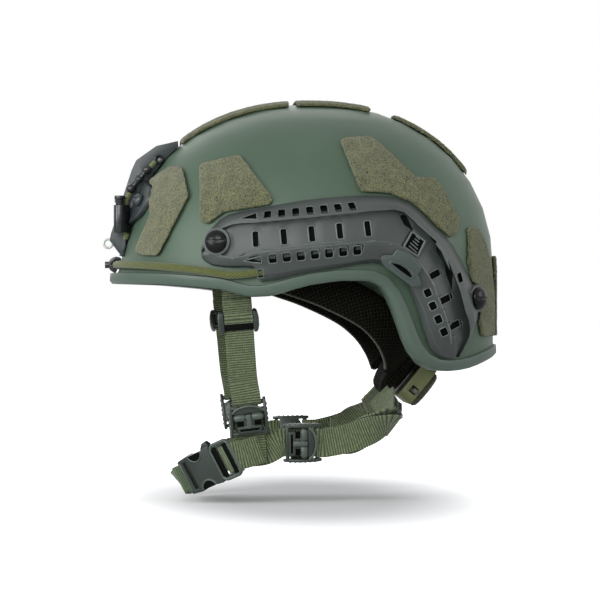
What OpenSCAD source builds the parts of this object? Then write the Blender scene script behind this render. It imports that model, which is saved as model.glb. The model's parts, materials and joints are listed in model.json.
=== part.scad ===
// Combat helmet with side rails, front shroud, loop patches and a four-point harness.
// +Z is up, the front faces -Y and the wearer's left is +X.
// The origin is the centre of the head opening, level with the front brim.

/* [Shell] */
// Half width of the shell at its widest line
shell_half_w = 109; // [104:0.5:114]
// Reach of the shell in front of the crown's centre
shell_front = 130; // [126:0.5:134]
// Reach of the shell behind the crown's centre
shell_rear = 129; // [125:0.5:133]
// Height of the dome above the widest line
dome_h = 117.4; // [112:0.2:122]
// Height of the widest line above the brim
equator_z = 6; // [3:0.5:8]
// Fore and aft place of the crown's centre
crown_y = 3; // [0:0.5:6]
// Wall thickness of the shell
shell_t = 8; // [6.5:0.5:9]
// Outward flare of the front brim
brim_flare = 8; // [5:0.5:10]
// Height over which the brim flares
brim_h = 22; // [16:1:28]
// Squareness of the plan outline, where 2 is an ellipse
plan_n = 2.3; // [2.1:0.05:2.5]
// Squareness of the dome's profile
dome_m = 2.2; // [2.05:0.05:2.4]
// Radius of the bolt holes in the shell
shell_hole_r = 4; // [3.8:0.1:4.5]

/* [Edge trim] */
// Wall of the rubber edging
trim_t = 2.4; // [1.6:0.1:3]
// Height of the edging's lips on the wall
trim_lip = 5.2; // [4:0.1:6]
// Clearance between the edging and the wall
trim_gap = 0.2; // [0.1:0.05:0.3]

/* [Loop patches] */
// Thickness of a loop patch
patch_t = 2.4; // [1.6:0.1:3]
// Thickness of the adhesive film under a patch
patch_gap = 0.45; // [0.4:0.05:0.6]
// Corner radius of a patch
patch_r = 4; // [2:0.5:5]
// Half width of the crown patches
crown_patch_w = 31; // [26:1:34]

/* [Rails] */
// Clearance between a rail and the shell
skin_gap = 0.3; // [0.2:0.05:0.4]
// Height of the rail's lips above the shell
rail_h = 12; // [11:0.25:13]
// Height of the rail's channel floor above the shell
rail_floor = 6; // [5.5:0.1:6.5]
// Thickness of the channel floor
floor_t = 2.4; // [1.8:0.1:2.6]
// Width of a rail slot
slot_w = 3.9; // [3:0.1:4.5]
// Length of a rail slot
slot_l = 10; // [8:0.5:11]
// Distance between the slots of the front leg
slot_pitch = 18.6; // [17.5:0.1:19]
// Side of a square pocket in the ledges
pocket_w = 5.6; // [4:0.1:6.2]
// Distance between the square pockets
pocket_pitch = 9.3; // [8.5:0.1:9.6]
// Height of the bolt pads above the shell
pad_h = 6.4; // [5.6:0.1:7]
// Radius of a bolt head
bolt_head_r = 7.6; // [6.5:0.1:8]
// Radius of a bolt's shank
bolt_r = 2.5; // [2:0.1:2.8]
// Side of the latch plate
latch_w = 13; // [11:0.5:14]
// Clearance around the latch plate
latch_gap = 0.5; // [0.3:0.1:0.7]

/* [Shroud] */
// Half width of the shroud's block
shroud_half_w = 21; // [18:0.5:23]
// Radius of the shroud's side ears
ear_r = 11.5; // [9:0.5:12]
// Half distance between the ears' screws
ear_x = 37; // [34:0.5:39]
// Half width of the shroud's pocket
pocket_half_w = 12; // [9:0.5:13]
// Radius of a shroud screw's head
screw_head_r = 4.6; // [3.5:0.1:5]

/* [Bungee and lanyards] */
// Diameter of the front bungee
bungee_d = 5.2; // [4:0.1:5.6]
// Diameter of the lanyard cord
lanyard_d = 3.4; // [2.5:0.1:3.8]
// Radius of a cord lock's barrel
lock_r = 4.2; // [3.6:0.1:4.6]
// Length of a cord lock's barrel
lock_l = 19; // [16:0.5:20]

/* [Pads] */
// Thickness of the liner pads at their crown
pad_t = 17; // [12:0.5:20]
// Thickness of the padded nape band
band_t = 7; // [5:0.5:8]
// Width of the padded nape band
band_w = 25; // [20:0.5:27]

/* [Dial] */
// Radius of the dial knob
dial_r = 14; // [12:0.25:15]
// Thickness of the dial knob
dial_h = 5.2; // [4:0.1:6]
// Half width of the dial's housing
housing_half_w = 25; // [24:0.5:27]
// Height of the dial's housing along its face
housing_h = 30; // [29:0.5:33]
// Depth of the dial's housing
housing_d = 11; // [10.6:0.1:12]
// Pitch radius of the pinion
pinion_r = 4; // [3.8:0.1:4.2]
// Number of pinion teeth
pinion_teeth = 10; // [10:1:10]
// Tilt of the dial's axis below level
dial_tilt = 39; // [35:1:43]

/* [Webbing] */
// Width of the webbing
web_w = 19.5; // [18:0.25:20.5]
// Thickness of one layer of webbing
web_t = 1.3; // [1:0.1:1.5]
// Gap between two layers of webbing
web_gap = 0.6; // [0.4:0.1:0.8]

/* [Adjusters] */
// Thickness of an adjuster's side wall
cheek_t = 2.2; // [1.6:0.1:2.6]
// Length of an adjuster along the webbing
adjuster_l = 27; // [25:0.5:29]
// Height of an adjuster's side wall
cheek_h = 8; // [7.4:0.1:9]
// Radius of an adjuster's pin
pin_r = 1; // [0.8:0.05:1.1]
// Running clearance around a pin
pin_gap = 0.05; // [0.03:0.01:0.08]
// Radius of the cam lever's barrel
cam_r = 2.6; // [2.3:0.1:2.8]
// Clearance between moving harness parts
play = 0.35; // [0.3:0.05:0.5]

/* [Buckle] */
// Width of the side-release buckle
buckle_w = 27; // [26:0.5:29]
// Length of the buckle's socket half
socket_l = 28; // [26:0.5:30]
// Thickness of the buckle
buckle_t = 8; // [7.4:0.1:9]

/* [Hidden] */
$fn = 32;

// Rim height along the left side, as fore and aft place and height
rim_line = [[-140, 0], [-100, -1], [-77, -3], [-62, -4.5], [-45, -10], [-33, -9.5], [-6, -2],
    [14, 1], [38, 1], [47, -3], [56, -19], [65, -44], [72, -54], [80, -59], [93, -60],
    [107, -58], [134, -49]];
rim_blend = 4;
half_cols = 42;
wall_rows = 2;
dome_rows = 9;
fine = 180;

// Places of the rail bolts, slots and pockets on the left side, as [y, z]
front_bolt = [-64, 24];
rear_bolt = [108, -13];
front_slot = [-40, 26.5];
front_rise = 5.5;
upper_pocket = [-33, 42.5];
lower_pocket = [-29, 13.2];
pocket_rise = 1;
rear_slots = [[80, 3], [88, -13], [95, -31]];
rear_slot_turn = 24;
rear_pockets = [[77, -9], [80, -18], [83.5, -26.5], [87, -35.5]];
latch_at = [64.5, 23.5];
latch_turn = -38;
clip_at = [55.5, 7.5];

// Rail sections from its front to its rear end. Each holds the top edge, the channel's two
// sides, the foot of the lower ledge and the bottom edge, as [y, z], then its height share
rail_sections = [
    [[-76, 21], [-76, 19], [-76, 16], [-75.6, 14.5], [-75, 13], 0.4],
    [[-69, 34], [-68, 30], [-68, 17], [-68, 11], [-69, 9], 0.5],
    [[-58, 43], [-56, 36], [-56, 14], [-56, 10], [-56, 7.5], 0.62],
    [[-42, 46], [-42, 37], [-42, 17], [-42, 10], [-42, 7.5], 0.96],
    [[-37, 47], [-37, 37.5], [-37, 17.5], [-37, 9], [-37, -2], 1],
    [[-10, 52], [-10, 40], [-10, 20.5], [-10, 11.5], [-11, 3.5], 1],
    [[20, 55], [20, 43], [20, 23.5], [20, 15], [20, 8.5], 1],
    [[45, 55.5], [44, 45.5], [40, 25], [38, 17], [38, 11], 1],
    [[64, 50.5], [58, 44.5], [53, 23], [48, 14.5], [47, 8], 1],
    [[80, 36], [72, 31], [65, 14], [59, 5], [56, 1], 1],
    [[93, 24], [84, 18], [74, 4], [67, -5], [63, -8], 1],
    [[106, 2], [95, -7], [85, -14], [77, -19.5], [69.5, -24], 1],
    [[114.5, -19], [104, -28], [92, -34], [84.5, -38], [76.5, -45], 1],
    [[110, -34], [105, -40], [96, -46], [90, -49.5], [84, -52.5], 0.66],
    [[100, -51.8], [98, -52.6], [95, -53.2], [92.5, -53.3], [90, -53.3], 0.4]];

// Front patch, temple patch and side patch outlines as [y, z] on the left side
front_patch_line = [[-110, 69], [-97, 77.5], [-88, 77], [-84, 56], [-105, 15], [-122, 17],
    [-110, 44], [-111, 56]];
temple_patch_line = [[-77, 78], [-50, 84], [-26, 50], [-61, 44.5], [-71, 37], [-76, 37],
    [-77, 43]];
side_patch_line = [[17, 95.5], [39, 97.5], [46, 92], [69, 69], [83, 69], [90, 60], [100, 42],
    [99.5, 35], [94, 27], [79, 38], [58, 54], [50, 57.5], [30, 58]];
// Rear patch outlines as [x, z]
corner_patch_line = [[72, 36], [62, 35.5], [49, 15], [38, -12], [37, -39], [62, -39], [73, -8],
    [75, 13]];
rear_patch_line = [[-24, 17], [24, 17], [29, -10], [26, -39], [-26, -39], [-29, -10]];

// Shroud side profile on the middle plane, front points only, as [y, z]
shroud_face_tilt = 18;
face_mid = [0, -130.2, 51.5];
function face_y(z) = face_mid[1] + (z - face_mid[2]) * tan(shroud_face_tilt);
shroud_profile = [[-90, 96.5], [-105, 93], [-119, 83], [face_y(76), 76], [face_y(32), 32],
    [-137.4, 27.5], [-129, 16.5]];
ear_z = 53;
top_screw_z = 88;

// Webbing routes on the left side, as [x, y, z] down the middle of the outer layer
anchor_front = [88, -62, 20];
web_mouth = [86.8, -52.5, -8];
web_glide = [80, -50, -32];
web_low = [70, -47.5, -64];
adjuster_front = [62.5, -43, -94];
junction = [59, -40.5, -117];
adjuster_rear = [59, -6, -111.5];
ring_at = [55.5, 55, -95.5];

function spow(c, p) = sign(c) * pow(abs(c), p);
function unit(v) = v / norm(v);
function mix(a, b, t) = a + (b - a) * t;
function sum(l, i = 0) = i == len(l) - 1 ? l[i] : l[i] + sum(l, i + 1);
function mean(l) = sum(l) / len(l);
function flip_x(p) = [-p[0], p[1], p[2]];

// Point of a smooth curve between b and c, and a list smoothed into n steps a stretch
function curve(a, b, c, d, t) =
    0.5 * (2 * b + (c - a) * t + (2 * a - 5 * b + 4 * c - d) * t * t
    + (3 * b - a - 3 * c + d) * t * t * t);
function smooth(l, n) = let (m = len(l) - 1)
    [for (i = [0:m - 1], k = [0:n - 1])
        curve(l[max(0, i - 1)], l[i], l[i + 1], l[min(m, i + 2)], k / n), l[m]];

// Share of the full plan outline that is left at a height
function dome_share(z, off) = let (rise = max(0, z - equator_z) / (dome_h + off))
    rise >= 1 ? 0 : pow(1 - pow(rise, dome_m), 1 / dome_m);
function half_len(y, off) = (y < crown_y ? shell_front : shell_rear) + off;
function flare_at(a, z) =
    brim_flare * pow(min(1, max(0, brim_h - z) / brim_h), 2) * pow(max(0, -sin(a)), 4);

// Point of the shell's surface, moved out by off, at plan angle a: -90 front, 0 left, 90 rear
function wall_point(a, z, off) = let (r = dome_share(z, off), s = sin(a))
    [(shell_half_w + off) * r * spow(cos(a), 2 / plan_n),
     crown_y + half_len(crown_y + s, off) * r * spow(s, 2 / plan_n) - flare_at(a, z), z];
function plan_angle(y) =
    asin(spow((y - crown_y) / half_len(y, 0), plan_n / 2));

// The same surface seen from the side, from the front or back, and from above
function side_x(y, z, off) = let (r = dome_share(z, off), s = abs(y - crown_y) / half_len(y, off))
    r <= s ? 0 : (shell_half_w + off) * pow(pow(r, plan_n) - pow(s, plan_n), 1 / plan_n);
function end_y(x, z, off, way) = let (r = dome_share(z, off), s = abs(x) / (shell_half_w + off))
    crown_y + way * half_len(crown_y + way, off)
    * (r <= s ? 0 : pow(pow(r, plan_n) - pow(s, plan_n), 1 / plan_n));
function top_z(x, y, off) = let (
        r = pow(pow(abs(x) / (shell_half_w + off), plan_n)
            + pow(abs(y - crown_y) / half_len(y, off), plan_n), 1 / plan_n))
    equator_z + (dome_h + off) * pow(max(0, 1 - pow(r, dome_m)), 1 / dome_m);
function on_side(y, z, off) = [side_x(y, z, off), y, z];
function on_end(x, z, off, way) = [x, end_y(x, z, off, way), z];

// Outward normal of the shell's surface at a point
function normal_at(p) = let (
        u = abs(p[0]) / shell_half_w,
        v = abs(p[1] - crown_y) / half_len(p[1], 0),
        w = max(0, p[2] - equator_z) / dome_h,
        q = pow(pow(u, plan_n) + pow(v, plan_n), dome_m / plan_n - 1))
    unit([sign(p[0]) * q * pow(u, plan_n - 1) / shell_half_w,
        sign(p[1] - crown_y) * q * pow(v, plan_n - 1) / half_len(p[1], 0),
        pow(w, dome_m - 1) / dome_h]);

// Solid through rings of equal count, closed at both ends by a fan to a tip
module stack(rings, tips = []) {
    n = len(rings[0]);
    m = len(rings);
    top = (m - 1) * n;
    sides = [for (i = [0:m - 2], j = [0:n - 1]) let (a = i * n + j, b = i * n + (j + 1) % n)
        each [[a, b, b + n], [a, b + n, a + n]]];
    caps = len(tips) == 2 ? [for (j = [0:n - 1]) let (k = (j + 1) % n)
            each [[k, j, m * n], [top + j, top + k, m * n + 1]]]
        : [for (j = [0:n / 2 - 2]) let (k = n - 1 - j)
            each [[j + 1, j, k], [j + 1, k, k - 1],
                [top + j, top + j + 1, top + k], [top + j + 1, top + k - 1, top + k]]];
    polyhedron([for (r = rings) each r, each tips], concat(sides, caps), 10);
}

// Solid through rings that close on themselves
module loop_stack(rings) {
    n = len(rings[0]);
    m = len(rings);
    polyhedron([for (r = rings) each r],
        [for (i = [0:m - 1], j = [0:n - 1])
            let (k = (i + 1) % m, q = (j + 1) % n)
            each [[i * n + j, k * n + q, i * n + q], [i * n + j, k * n + j, k * n + q]]], 10);
}

// Tube of radius r along a route, with its rings square to the route
module tube(route, r, sides = 8) {
    m = len(route) - 1;
    stack([for (i = [0:m]) let (
            t = unit(route[min(m, i + 1)] - route[max(0, i - 1)]),
            u = unit(cross(t, abs(t[0]) > 0.9 ? [0, 0, 1] : [1, 0, 0])),
            v = cross(t, u))
        [for (k = [0:sides - 1]) route[i] + r * (cos(k * 360 / sides) * u
            - sin(k * 360 / sides) * v)]]);
}

// Flat strap along a route. across holds the direction of its width at each point
module ribbon(route, across, w, t) {
    m = len(route) - 1;
    stack([for (i = [0:m]) let (
            along = unit(route[min(m, i + 1)] - route[max(0, i - 1)]),
            a = unit(across[i]),
            n = unit(cross(along, a)))
        [route[i] + a * w / 2 - n * t / 2, route[i] - a * w / 2 - n * t / 2,
         route[i] - a * w / 2 + n * t / 2, route[i] + a * w / 2 + n * t / 2]]);
}

// Places children with their +Z along n at p
module at(p, n) {
    translate(p) rotate([0, acos(n[2]), atan2(n[1], n[0])]) children();
}

// Places children with +Y along the webbing and +Z out of its face
module lay(p, along, face) {
    y = unit(along);
    z = unit(face - y * (face * y));
    x = cross(y, z);
    multmatrix([[x[0], y[0], z[0], p[0]], [x[1], y[1], z[1], p[1]], [x[2], y[2], z[2], p[2]],
        [0, 0, 0, 1]]) children();
}

// Extrudes an outline drawn as [y, z] along +X
module side_extrude(h) {
    rotate([90, 0, 90]) linear_extrude(h) children();
}

// Draws children and their mirror image on the right side
module both() {
    children();
    mirror([1, 0, 0]) children();
}

module round_outline(line, r) {
    offset(r, $fn = 24) offset(delta = -r) polygon(line);
}

// Slab between two offsets of the shell over a range of plan angles and heights
module wall_slab(lo, hi, a0, a1, z0, z1, na, nz) {
    stack([for (i = [0:na]) let (a = mix(a0, a1, i / na)) concat(
        [for (j = [0:nz]) wall_point(a, mix(z0, z1, j / nz), hi)],
        [for (j = [nz:-1:0]) wall_point(a, mix(z0, z1, j / nz), lo)])]);
}

// Slab between two offsets of the crown
module top_slab(lo, hi, half_w, y0, y1, nx, ny) {
    stack([for (i = [0:ny]) let (y = mix(y0, y1, i / ny)) concat(
        [for (j = [0:nx]) let (x = mix(half_w, -half_w, j / nx)) [x, y, top_z(x, y, hi)]],
        [for (j = [nx:-1:0]) let (x = mix(half_w, -half_w, j / nx)) [x, y, top_z(x, y, lo)]])]);
}

// Rim of the shell and the plan angles of its columns, spaced evenly along the rim
function rim_z(y) = (lookup(y - rim_blend, rim_line) + lookup(y - rim_blend / 2, rim_line)
    + lookup(y, rim_line) + lookup(y + rim_blend / 2, rim_line)
    + lookup(y + rim_blend, rim_line)) / 5;
function rim_point(a, off) = wall_point(a, rim_z(wall_point(a, 0, 0)[1] + flare_at(a, 0)), off);
function rim_step(i) = norm(rim_point(-90 + (i + 1) * 180 / fine, 0)
    - rim_point(-90 + i * 180 / fine, 0));
rim_run = [for (i = 0, s = 0; i <= fine; s = s + rim_step(i), i = i + 1)
    [s, -90 + i * 180 / fine]];
half_angles = [for (k = [0:half_cols]) lookup(rim_run[fine][0] * k / half_cols, rim_run)];
columns = concat(half_angles, [for (k = [half_cols - 1:-1:1]) 180 - half_angles[k]]);

function shell_ring(row, off) = [for (a = columns)
    row <= wall_rows
        ? let (rim = rim_point(a, off))
            wall_point(a, mix(rim[2], equator_z, row / wall_rows), off)
        : let (f = 90 * (row - wall_rows) / dome_rows,
            z = equator_z + (dome_h + off) * pow(sin(f), 2 / dome_m))
            wall_point(a, z, off)];
function crown_tip(off) = [0, crown_y, equator_z + dome_h + off];

module shell_solid() {
    rows = wall_rows + dome_rows - 1;
    stack(concat([for (r = [rows:-1:0]) shell_ring(r, 0)],
        [for (r = [0:rows]) shell_ring(r, -shell_t)]),
        [crown_tip(0), crown_tip(-shell_t)]);
}

// A bolt hole is drawn as a hull of two thin discs along the wall's normal
module shell_hole(p) {
    at(p, normal_at(p)) hull() {
        translate([0, 0, 6]) cylinder(h = 1, r = shell_hole_r, center = true);
        translate([0, 0, -shell_t - 6]) cylinder(h = 1, r = shell_hole_r, center = true);
    }
}

module shell() color("#54665a") difference() {
    shell_solid();
    both() {
        shell_hole(on_side(front_bolt[0], front_bolt[1], 0));
        shell_hole(on_side(rear_bolt[0], rear_bolt[1], 0));
        shell_hole(on_end(ear_x, ear_z, 0, -1));
        shell_hole(on_end(0.01, top_screw_z, 0, -1));
    }
}

// Section of the edging: out of the wall, then down past the rim
function trim_section(w) = [[w + trim_gap, -trim_lip], [w + trim_t * 0.9, -trim_lip + 0.4],
    [w + trim_t, 0.4], [w + trim_t * 0.3, trim_t], [-w - trim_t * 0.3, trim_t],
    [-w - trim_t, 0.4], [-w - trim_t * 0.9, -trim_lip + 0.4], [-w - trim_gap, -trim_lip],
    [-w - trim_gap, trim_gap], [w + trim_gap, trim_gap]];

module edge_trim() color("#48584e") {
    n = len(columns);
    loop_stack([for (k = [0:n - 1]) let (
            outer = rim_point(columns[k], 0),
            inner = rim_point(columns[k], -shell_t),
            ahead = rim_point(columns[(k + 1) % n], 0),
            behind = rim_point(columns[(k + n - 1) % n], 0),
            out = unit(outer - inner),
            down = unit(cross(unit(ahead - behind), out)))
        [for (q = trim_section(norm(outer - inner) / 2))
            (outer + inner) / 2 + out * q[0] + down * q[1]]]);
}

// Room for the rail, seen from the side
module rail_cut() {
    last = len(rail_lines) - 1;
    side_extrude(shell_half_w + 20) offset(delta = 1.2)
        polygon(concat([for (l = rail_lines) l[0]], [for (i = [last:-1:0]) rail_lines[i][4]]));
    let (p = on_side(rear_bolt[0], rear_bolt[1], 0)) at(p, normal_at(p))
        cylinder(h = pad_h, r = bolt_head_r + 3);
}

// Loop patch on the side, cut from a slab by its outline in the side view
module side_patch(line, a0, a1, z0, z1, na, nz) {
    intersection() {
        wall_slab(patch_gap, patch_gap + patch_t, a0, a1, z0, z1, na, nz);
        side_extrude(shell_half_w + 20) round_outline(line, patch_r);
    }
}

module front_patches() color("#82875f") both() difference() {
    side_patch(front_patch_line, -82, -32, 5, 90, 9, 8);
    front_shell_low();
    translate([0, -60, 0]) rotate([90, 0, 0]) linear_extrude(90) offset(1) shroud_outline();
}
module temple_patches() color("#82875f") both()
    side_patch(temple_patch_line, -50, -2, 25, 95, 7, 6);
module side_patches() color("#82875f") both() difference() {
    side_patch(side_patch_line, 0, 66, 18, 106, 9, 7);
    rail_cut();
}

// Loop patch at the back, cut by its outline in the rear view
module end_patch(line, a0, a1, z0, z1, na, nz) {
    intersection() {
        wall_slab(patch_gap, patch_gap + patch_t, a0, a1, z0, z1, na, nz);
        translate([0, shell_rear + 30, 0]) rotate([90, 0, 0]) linear_extrude(shell_rear)
            round_outline(line, patch_r);
    }
}

module rear_corner_patches() color("#82875f") both() difference() {
    end_patch(corner_patch_line, 40, 80, -46, 42, 7, 6);
    rail_cut();
}
module rear_patch() color("#82875f") end_patch(rear_patch_line, 66, 114, -46, 24, 8, 4);

// Loop patch on the crown, cut by its outline from above
module top_patch(line, y0, y1, ny) {
    intersection() {
        top_slab(patch_gap, patch_gap + patch_t, crown_patch_w + 6, y0, y1, 8, ny);
        linear_extrude(shell_half_w + 60) round_outline(line, patch_r);
    }
}

module crown_front_patch() color("#82875f") top_patch([[-crown_patch_w + 7, -88],
    [crown_patch_w - 7, -88], [crown_patch_w, -62], [crown_patch_w, -13],
    [-crown_patch_w, -13], [-crown_patch_w, -62]], -94, -8, 8);
module crown_patch() color("#82875f") top_patch([[-crown_patch_w, -8], [crown_patch_w, -8],
    [crown_patch_w, 44], [-crown_patch_w, 44]], -13, 49, 6);
module crown_rear_patch() color("#82875f") top_patch([[-crown_patch_w + 8, 62],
    [crown_patch_w - 8, 62], [crown_patch_w - 3, 80], [crown_patch_w - 6, 112],
    [6 - crown_patch_w, 112], [3 - crown_patch_w, 80]], 57, 118, 7);

// Profile of the rail: share across its five lines, then height above the shell
rail_profile = [[0, skin_gap], [0, 1.8], [0.35, rail_h * 0.6], [0.62, rail_h - 1], [1, rail_h],
    [1, rail_h - 2], [0.72, rail_h - 2.6], [0.72, rail_floor], [2.3, rail_floor],
    [2.3, rail_h - 2.6], [2, rail_h - 2], [2, rail_h], [2.45, rail_h - 0.8],
    [3, rail_h * 0.7], [3.6, rail_h * 0.6], [4, 2.8], [4, skin_gap], [3, skin_gap],
    [2.3, skin_gap], [2.3, rail_floor - floor_t], [0.72, rail_floor - floor_t],
    [0.72, skin_gap]];
rail_lines = smooth([for (s = rail_sections) [for (k = [0:4]) s[k]]], 2);
rail_shares = smooth([for (s = rail_sections) s[5]], 2);

function rail_spot(lines, t) = let (k = min(3, floor(t))) mix(lines[k], lines[k + 1], t - k);
function rail_height(h, share) = h <= skin_gap ? h : skin_gap + (h - skin_gap) * share;

module rail_body() {
    rings = [for (i = [len(rail_lines) - 1:-1:0]) [for (q = rail_profile)
        let (p = rail_spot(rail_lines[i], q[0]))
        on_side(p[0], p[1], rail_height(q[1], rail_shares[i]))]];
    stack(rings, [mean(rings[0]), mean(rings[len(rings) - 1])]);
}

// Through slot in the channel floor
module rail_slot(p, turn) {
    translate([shell_half_w * 0.4, p[0], p[1]]) rotate([turn, 0, 0]) side_extrude(100)
        square([slot_w, slot_l], center = true);
}

// Tapered square pocket in a ledge
module rail_pocket(p, turn, w) {
    q = on_side(p[0], p[1], 0);
    at(q, normal_at(q)) rotate([0, 0, turn]) hull() {
        translate([0, 0, rail_h - 4.5]) cube([w - 1.6, w - 1.6, 0.2], center = true);
        translate([0, 0, rail_h + 3]) cube([w + 1, w + 1, 0.2], center = true);
    }
}

// Long notch that runs out into the ledge's front end
module rail_notch(p, run) {
    q = on_side(p[0], p[1], 0);
    at(q, normal_at(q)) hull() {
        translate([0, 0, rail_h - 4]) cube([pocket_w - 1.6, pocket_w - 2, 0.2], center = true);
        translate([0, 0, rail_h + 3]) cube([pocket_w + 1, pocket_w + 1, 0.2], center = true);
        translate([0, -run, rail_h - 1.5]) cube([0.6, 1, 0.2], center = true);
    }
}

module rail() {
    bolts = [front_bolt, rear_bolt];
    latch = on_side(latch_at[0], latch_at[1], 0);
    difference() {
        union() {
            rail_body();
            for (b = bolts) let (p = on_side(b[0], b[1], 0)) at(p, normal_at(p))
                translate([0, 0, 1.2]) cylinder(h = pad_h - 1.2, r = bolt_head_r + 1.8, $fn = 20);
        }
        for (i = [0:4]) rail_slot(front_slot + i * slot_pitch
            * [cos(front_rise), sin(front_rise)], front_rise);
        for (p = rear_slots) rail_slot(p, rear_slot_turn - 90);
        for (i = [0:6]) {
            rail_pocket(upper_pocket + i * [pocket_pitch, pocket_rise], -front_rise, pocket_w);
            rail_pocket(lower_pocket + i * [pocket_pitch, pocket_rise], -front_rise, pocket_w);
        }
        for (p = rear_pockets) rail_pocket(p, rear_slot_turn, pocket_w);
        rail_pocket([99.5, 1], rear_slot_turn, pocket_w);
        rail_notch(upper_pocket - [pocket_pitch, pocket_rise], 11);
        rail_notch(lower_pocket - [pocket_pitch, pocket_rise], 11);
        for (b = bolts) let (p = on_side(b[0], b[1], 0)) at(p, normal_at(p)) {
            translate([0, 0, -1]) cylinder(h = rail_h + 4, r = bolt_r + 0.4, $fn = 16);
            translate([0, 0, pad_h]) cylinder(h = rail_h, r = bolt_head_r + 1.8, $fn = 20);
        }
        at(latch, normal_at(latch)) rotate([0, 0, latch_turn]) translate([0, 0, rail_h / 2])
            cube([latch_w + 2 * latch_gap, latch_w + 2 * latch_gap, rail_h], center = true);
        hull() {
            translate(bungee_hole) sphere(r = bungee_d / 2 + 2 * play, $fn = 16);
            translate(bungee_end) sphere(r = bungee_d / 2 + 2 * play, $fn = 16);
        }
    }
}

module rail_left() color("#565d5b") rail();
module rail_right() color("#565d5b") mirror([1, 0, 0]) rail();

// Push latch with plain grip ribs, set in a window of the channel floor
module rail_latch() {
    p = on_side(latch_at[0], latch_at[1], 0);
    at(p, normal_at(p)) rotate([0, 0, latch_turn]) {
        translate([-latch_w / 2, -latch_w / 2, 3]) cube([latch_w, latch_w, 3.8]);
        for (i = [-2:2]) translate([i * 2.1 - 0.5, -latch_w / 2 + 2 + abs(i) * 0.4, 6.8])
            cube([1, latch_w - 4 - abs(i) * 0.8, 0.8]);
    }
}

module rail_latch_left() color("#4c5452") rail_latch();
module rail_latch_right() color("#4c5452") mirror([1, 0, 0]) rail_latch();

// Clip for a strap, on the skirt of the rail at its bend
module strap_clip() {
    p = on_side(clip_at[0], clip_at[1], 0);
    at(p, normal_at(p)) translate([0, 0, rail_h + skin_gap]) rotate([0, 0, 45])
        linear_extrude(2.6) difference() {
            union() {
                hull() {
                    for (s = [-1, 1]) translate([0, s * 14]) circle(r = 3.4);
                    translate([3, 0]) circle(r = 7);
                }
                translate([-8, 0]) square([8, 13], center = true);
            }
            hull() for (s = [-1, 1]) translate([3.6, s * 8.5]) circle(r = 2.1);
        }
}

module strap_clips() color("#4a544f") both() strap_clip();

// Slotted dome-headed bolt along +Z, with its head's seat at height zero
module dome_bolt(head_r, shank_r, shank_l) {
    difference() {
        union() {
            rotate_extrude() polygon(concat([[0, 0], [head_r, 0], [head_r, 1]],
                [for (i = [1:6]) [head_r * cos(i * 15), 1 + 3.4 * sin(i * 15)]]));
            translate([0, 0, -shank_l]) cylinder(h = shank_l + 0.5, r = shank_r);
        }
        translate([0, 0, 4.6]) cube([1.5, head_r * 3, 3.4], center = true);
    }
}

nut_flange = 2;
strap_gap = 0.8;
nut_seat = shell_t + strap_gap + web_t + 1;

module rail_bolts() color("#17191a") both() for (b = [front_bolt, rear_bolt])
    let (p = on_side(b[0], b[1], 0)) at(p, normal_at(p)) translate([0, 0, pad_h + 0.1])
        dome_bolt(bolt_head_r, bolt_r, pad_h + nut_seat + nut_flange);

// Flanged nut inside the shell, with its sleeve in the shell's hole
module rail_nuts() color("#23282a") both() for (b = [front_bolt, rear_bolt])
    let (p = on_side(b[0], b[1], 0)) at(p, normal_at(p)) difference() {
        union() {
            translate([0, 0, -nut_seat - nut_flange]) cylinder(h = nut_flange, r = 7);
            translate([0, 0, -nut_seat - 0.2]) cylinder(h = nut_seat - 1, r = shell_hole_r - 0.3);
        }
        translate([0, 0, -nut_seat - 5]) cylinder(h = nut_seat + 5, r = bolt_r + pin_gap);
    }

// Front shroud: a plate with two ears that follows the shell, and a block with a flat face
plate_t = 3;
plate_gap = 0.5;
face_up = [0, sin(shroud_face_tilt), cos(shroud_face_tilt)];
pocket_d = 5;
face_out = [0, -cos(shroud_face_tilt), sin(shroud_face_tilt)];
pocket_z = 17;

module shroud_outline() {
    hull() for (s = [-1, 1]) translate([s * (shroud_half_w - 4), 22]) circle(r = 5);
    hull() {
        for (s = [-1, 1]) translate([s * (shroud_half_w - 4), 22]) circle(r = 5);
        for (s = [-1, 1]) translate([s * 12, 88.4]) circle(r = 5);
    }
    hull() {
        for (s = [-1, 1]) translate([s * ear_x, ear_z]) circle(r = ear_r);
        translate([0, ear_z]) square([10, 40], center = true);
    }
}

module front_shell_cut(off) {
    wall_slab(-22, off, -135, -45, 4, 104, 16, 20);
}

module shroud_base() color("#2d3435") difference() {
    union() {
        intersection() {
            wall_slab(plate_gap, plate_gap + plate_t, -135, -45, 8, 102, 16, 9);
            translate([0, -60, 0]) rotate([90, 0, 0]) linear_extrude(90) shroud_outline();
        }
        difference() {
            translate([-shroud_half_w, 0, 0]) side_extrude(2 * shroud_half_w)
                polygon(concat(shroud_profile, [[-112, 20], [-89.5, 90]]));
            front_shell_cut(plate_gap);
        }
    }
    front_shell_low();
    both() translate(lock_base - [0, 0, 6]) linear_extrude(lock_l + 20) offset(play, $fn = 16)
        lock_section();
    lay(face_mid, face_up, face_out) {
        translate([-pocket_half_w, -pocket_z, -pocket_d])
            cube([2 * pocket_half_w, 2 * pocket_z, 20]);
        translate([0, pocket_z + 3, -2]) cube([2 * pocket_half_w - 8, 8, 10], center = true);
    }
    for (x = [-ear_x, 0.01, ear_x]) let (
            p = on_end(x, x * x < 1 ? top_screw_z : ear_z, 0, -1))
        at(p, normal_at(p)) translate([0, 0, -2]) cylinder(h = 30, r = bolt_r + 0.3);
    let (p = on_end(0.01, top_screw_z, 0, -1)) at(p, normal_at(p))
        translate([0, 0, plate_t + skin_gap]) cylinder(h = 12, r = screw_head_r + 0.6);
}

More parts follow.
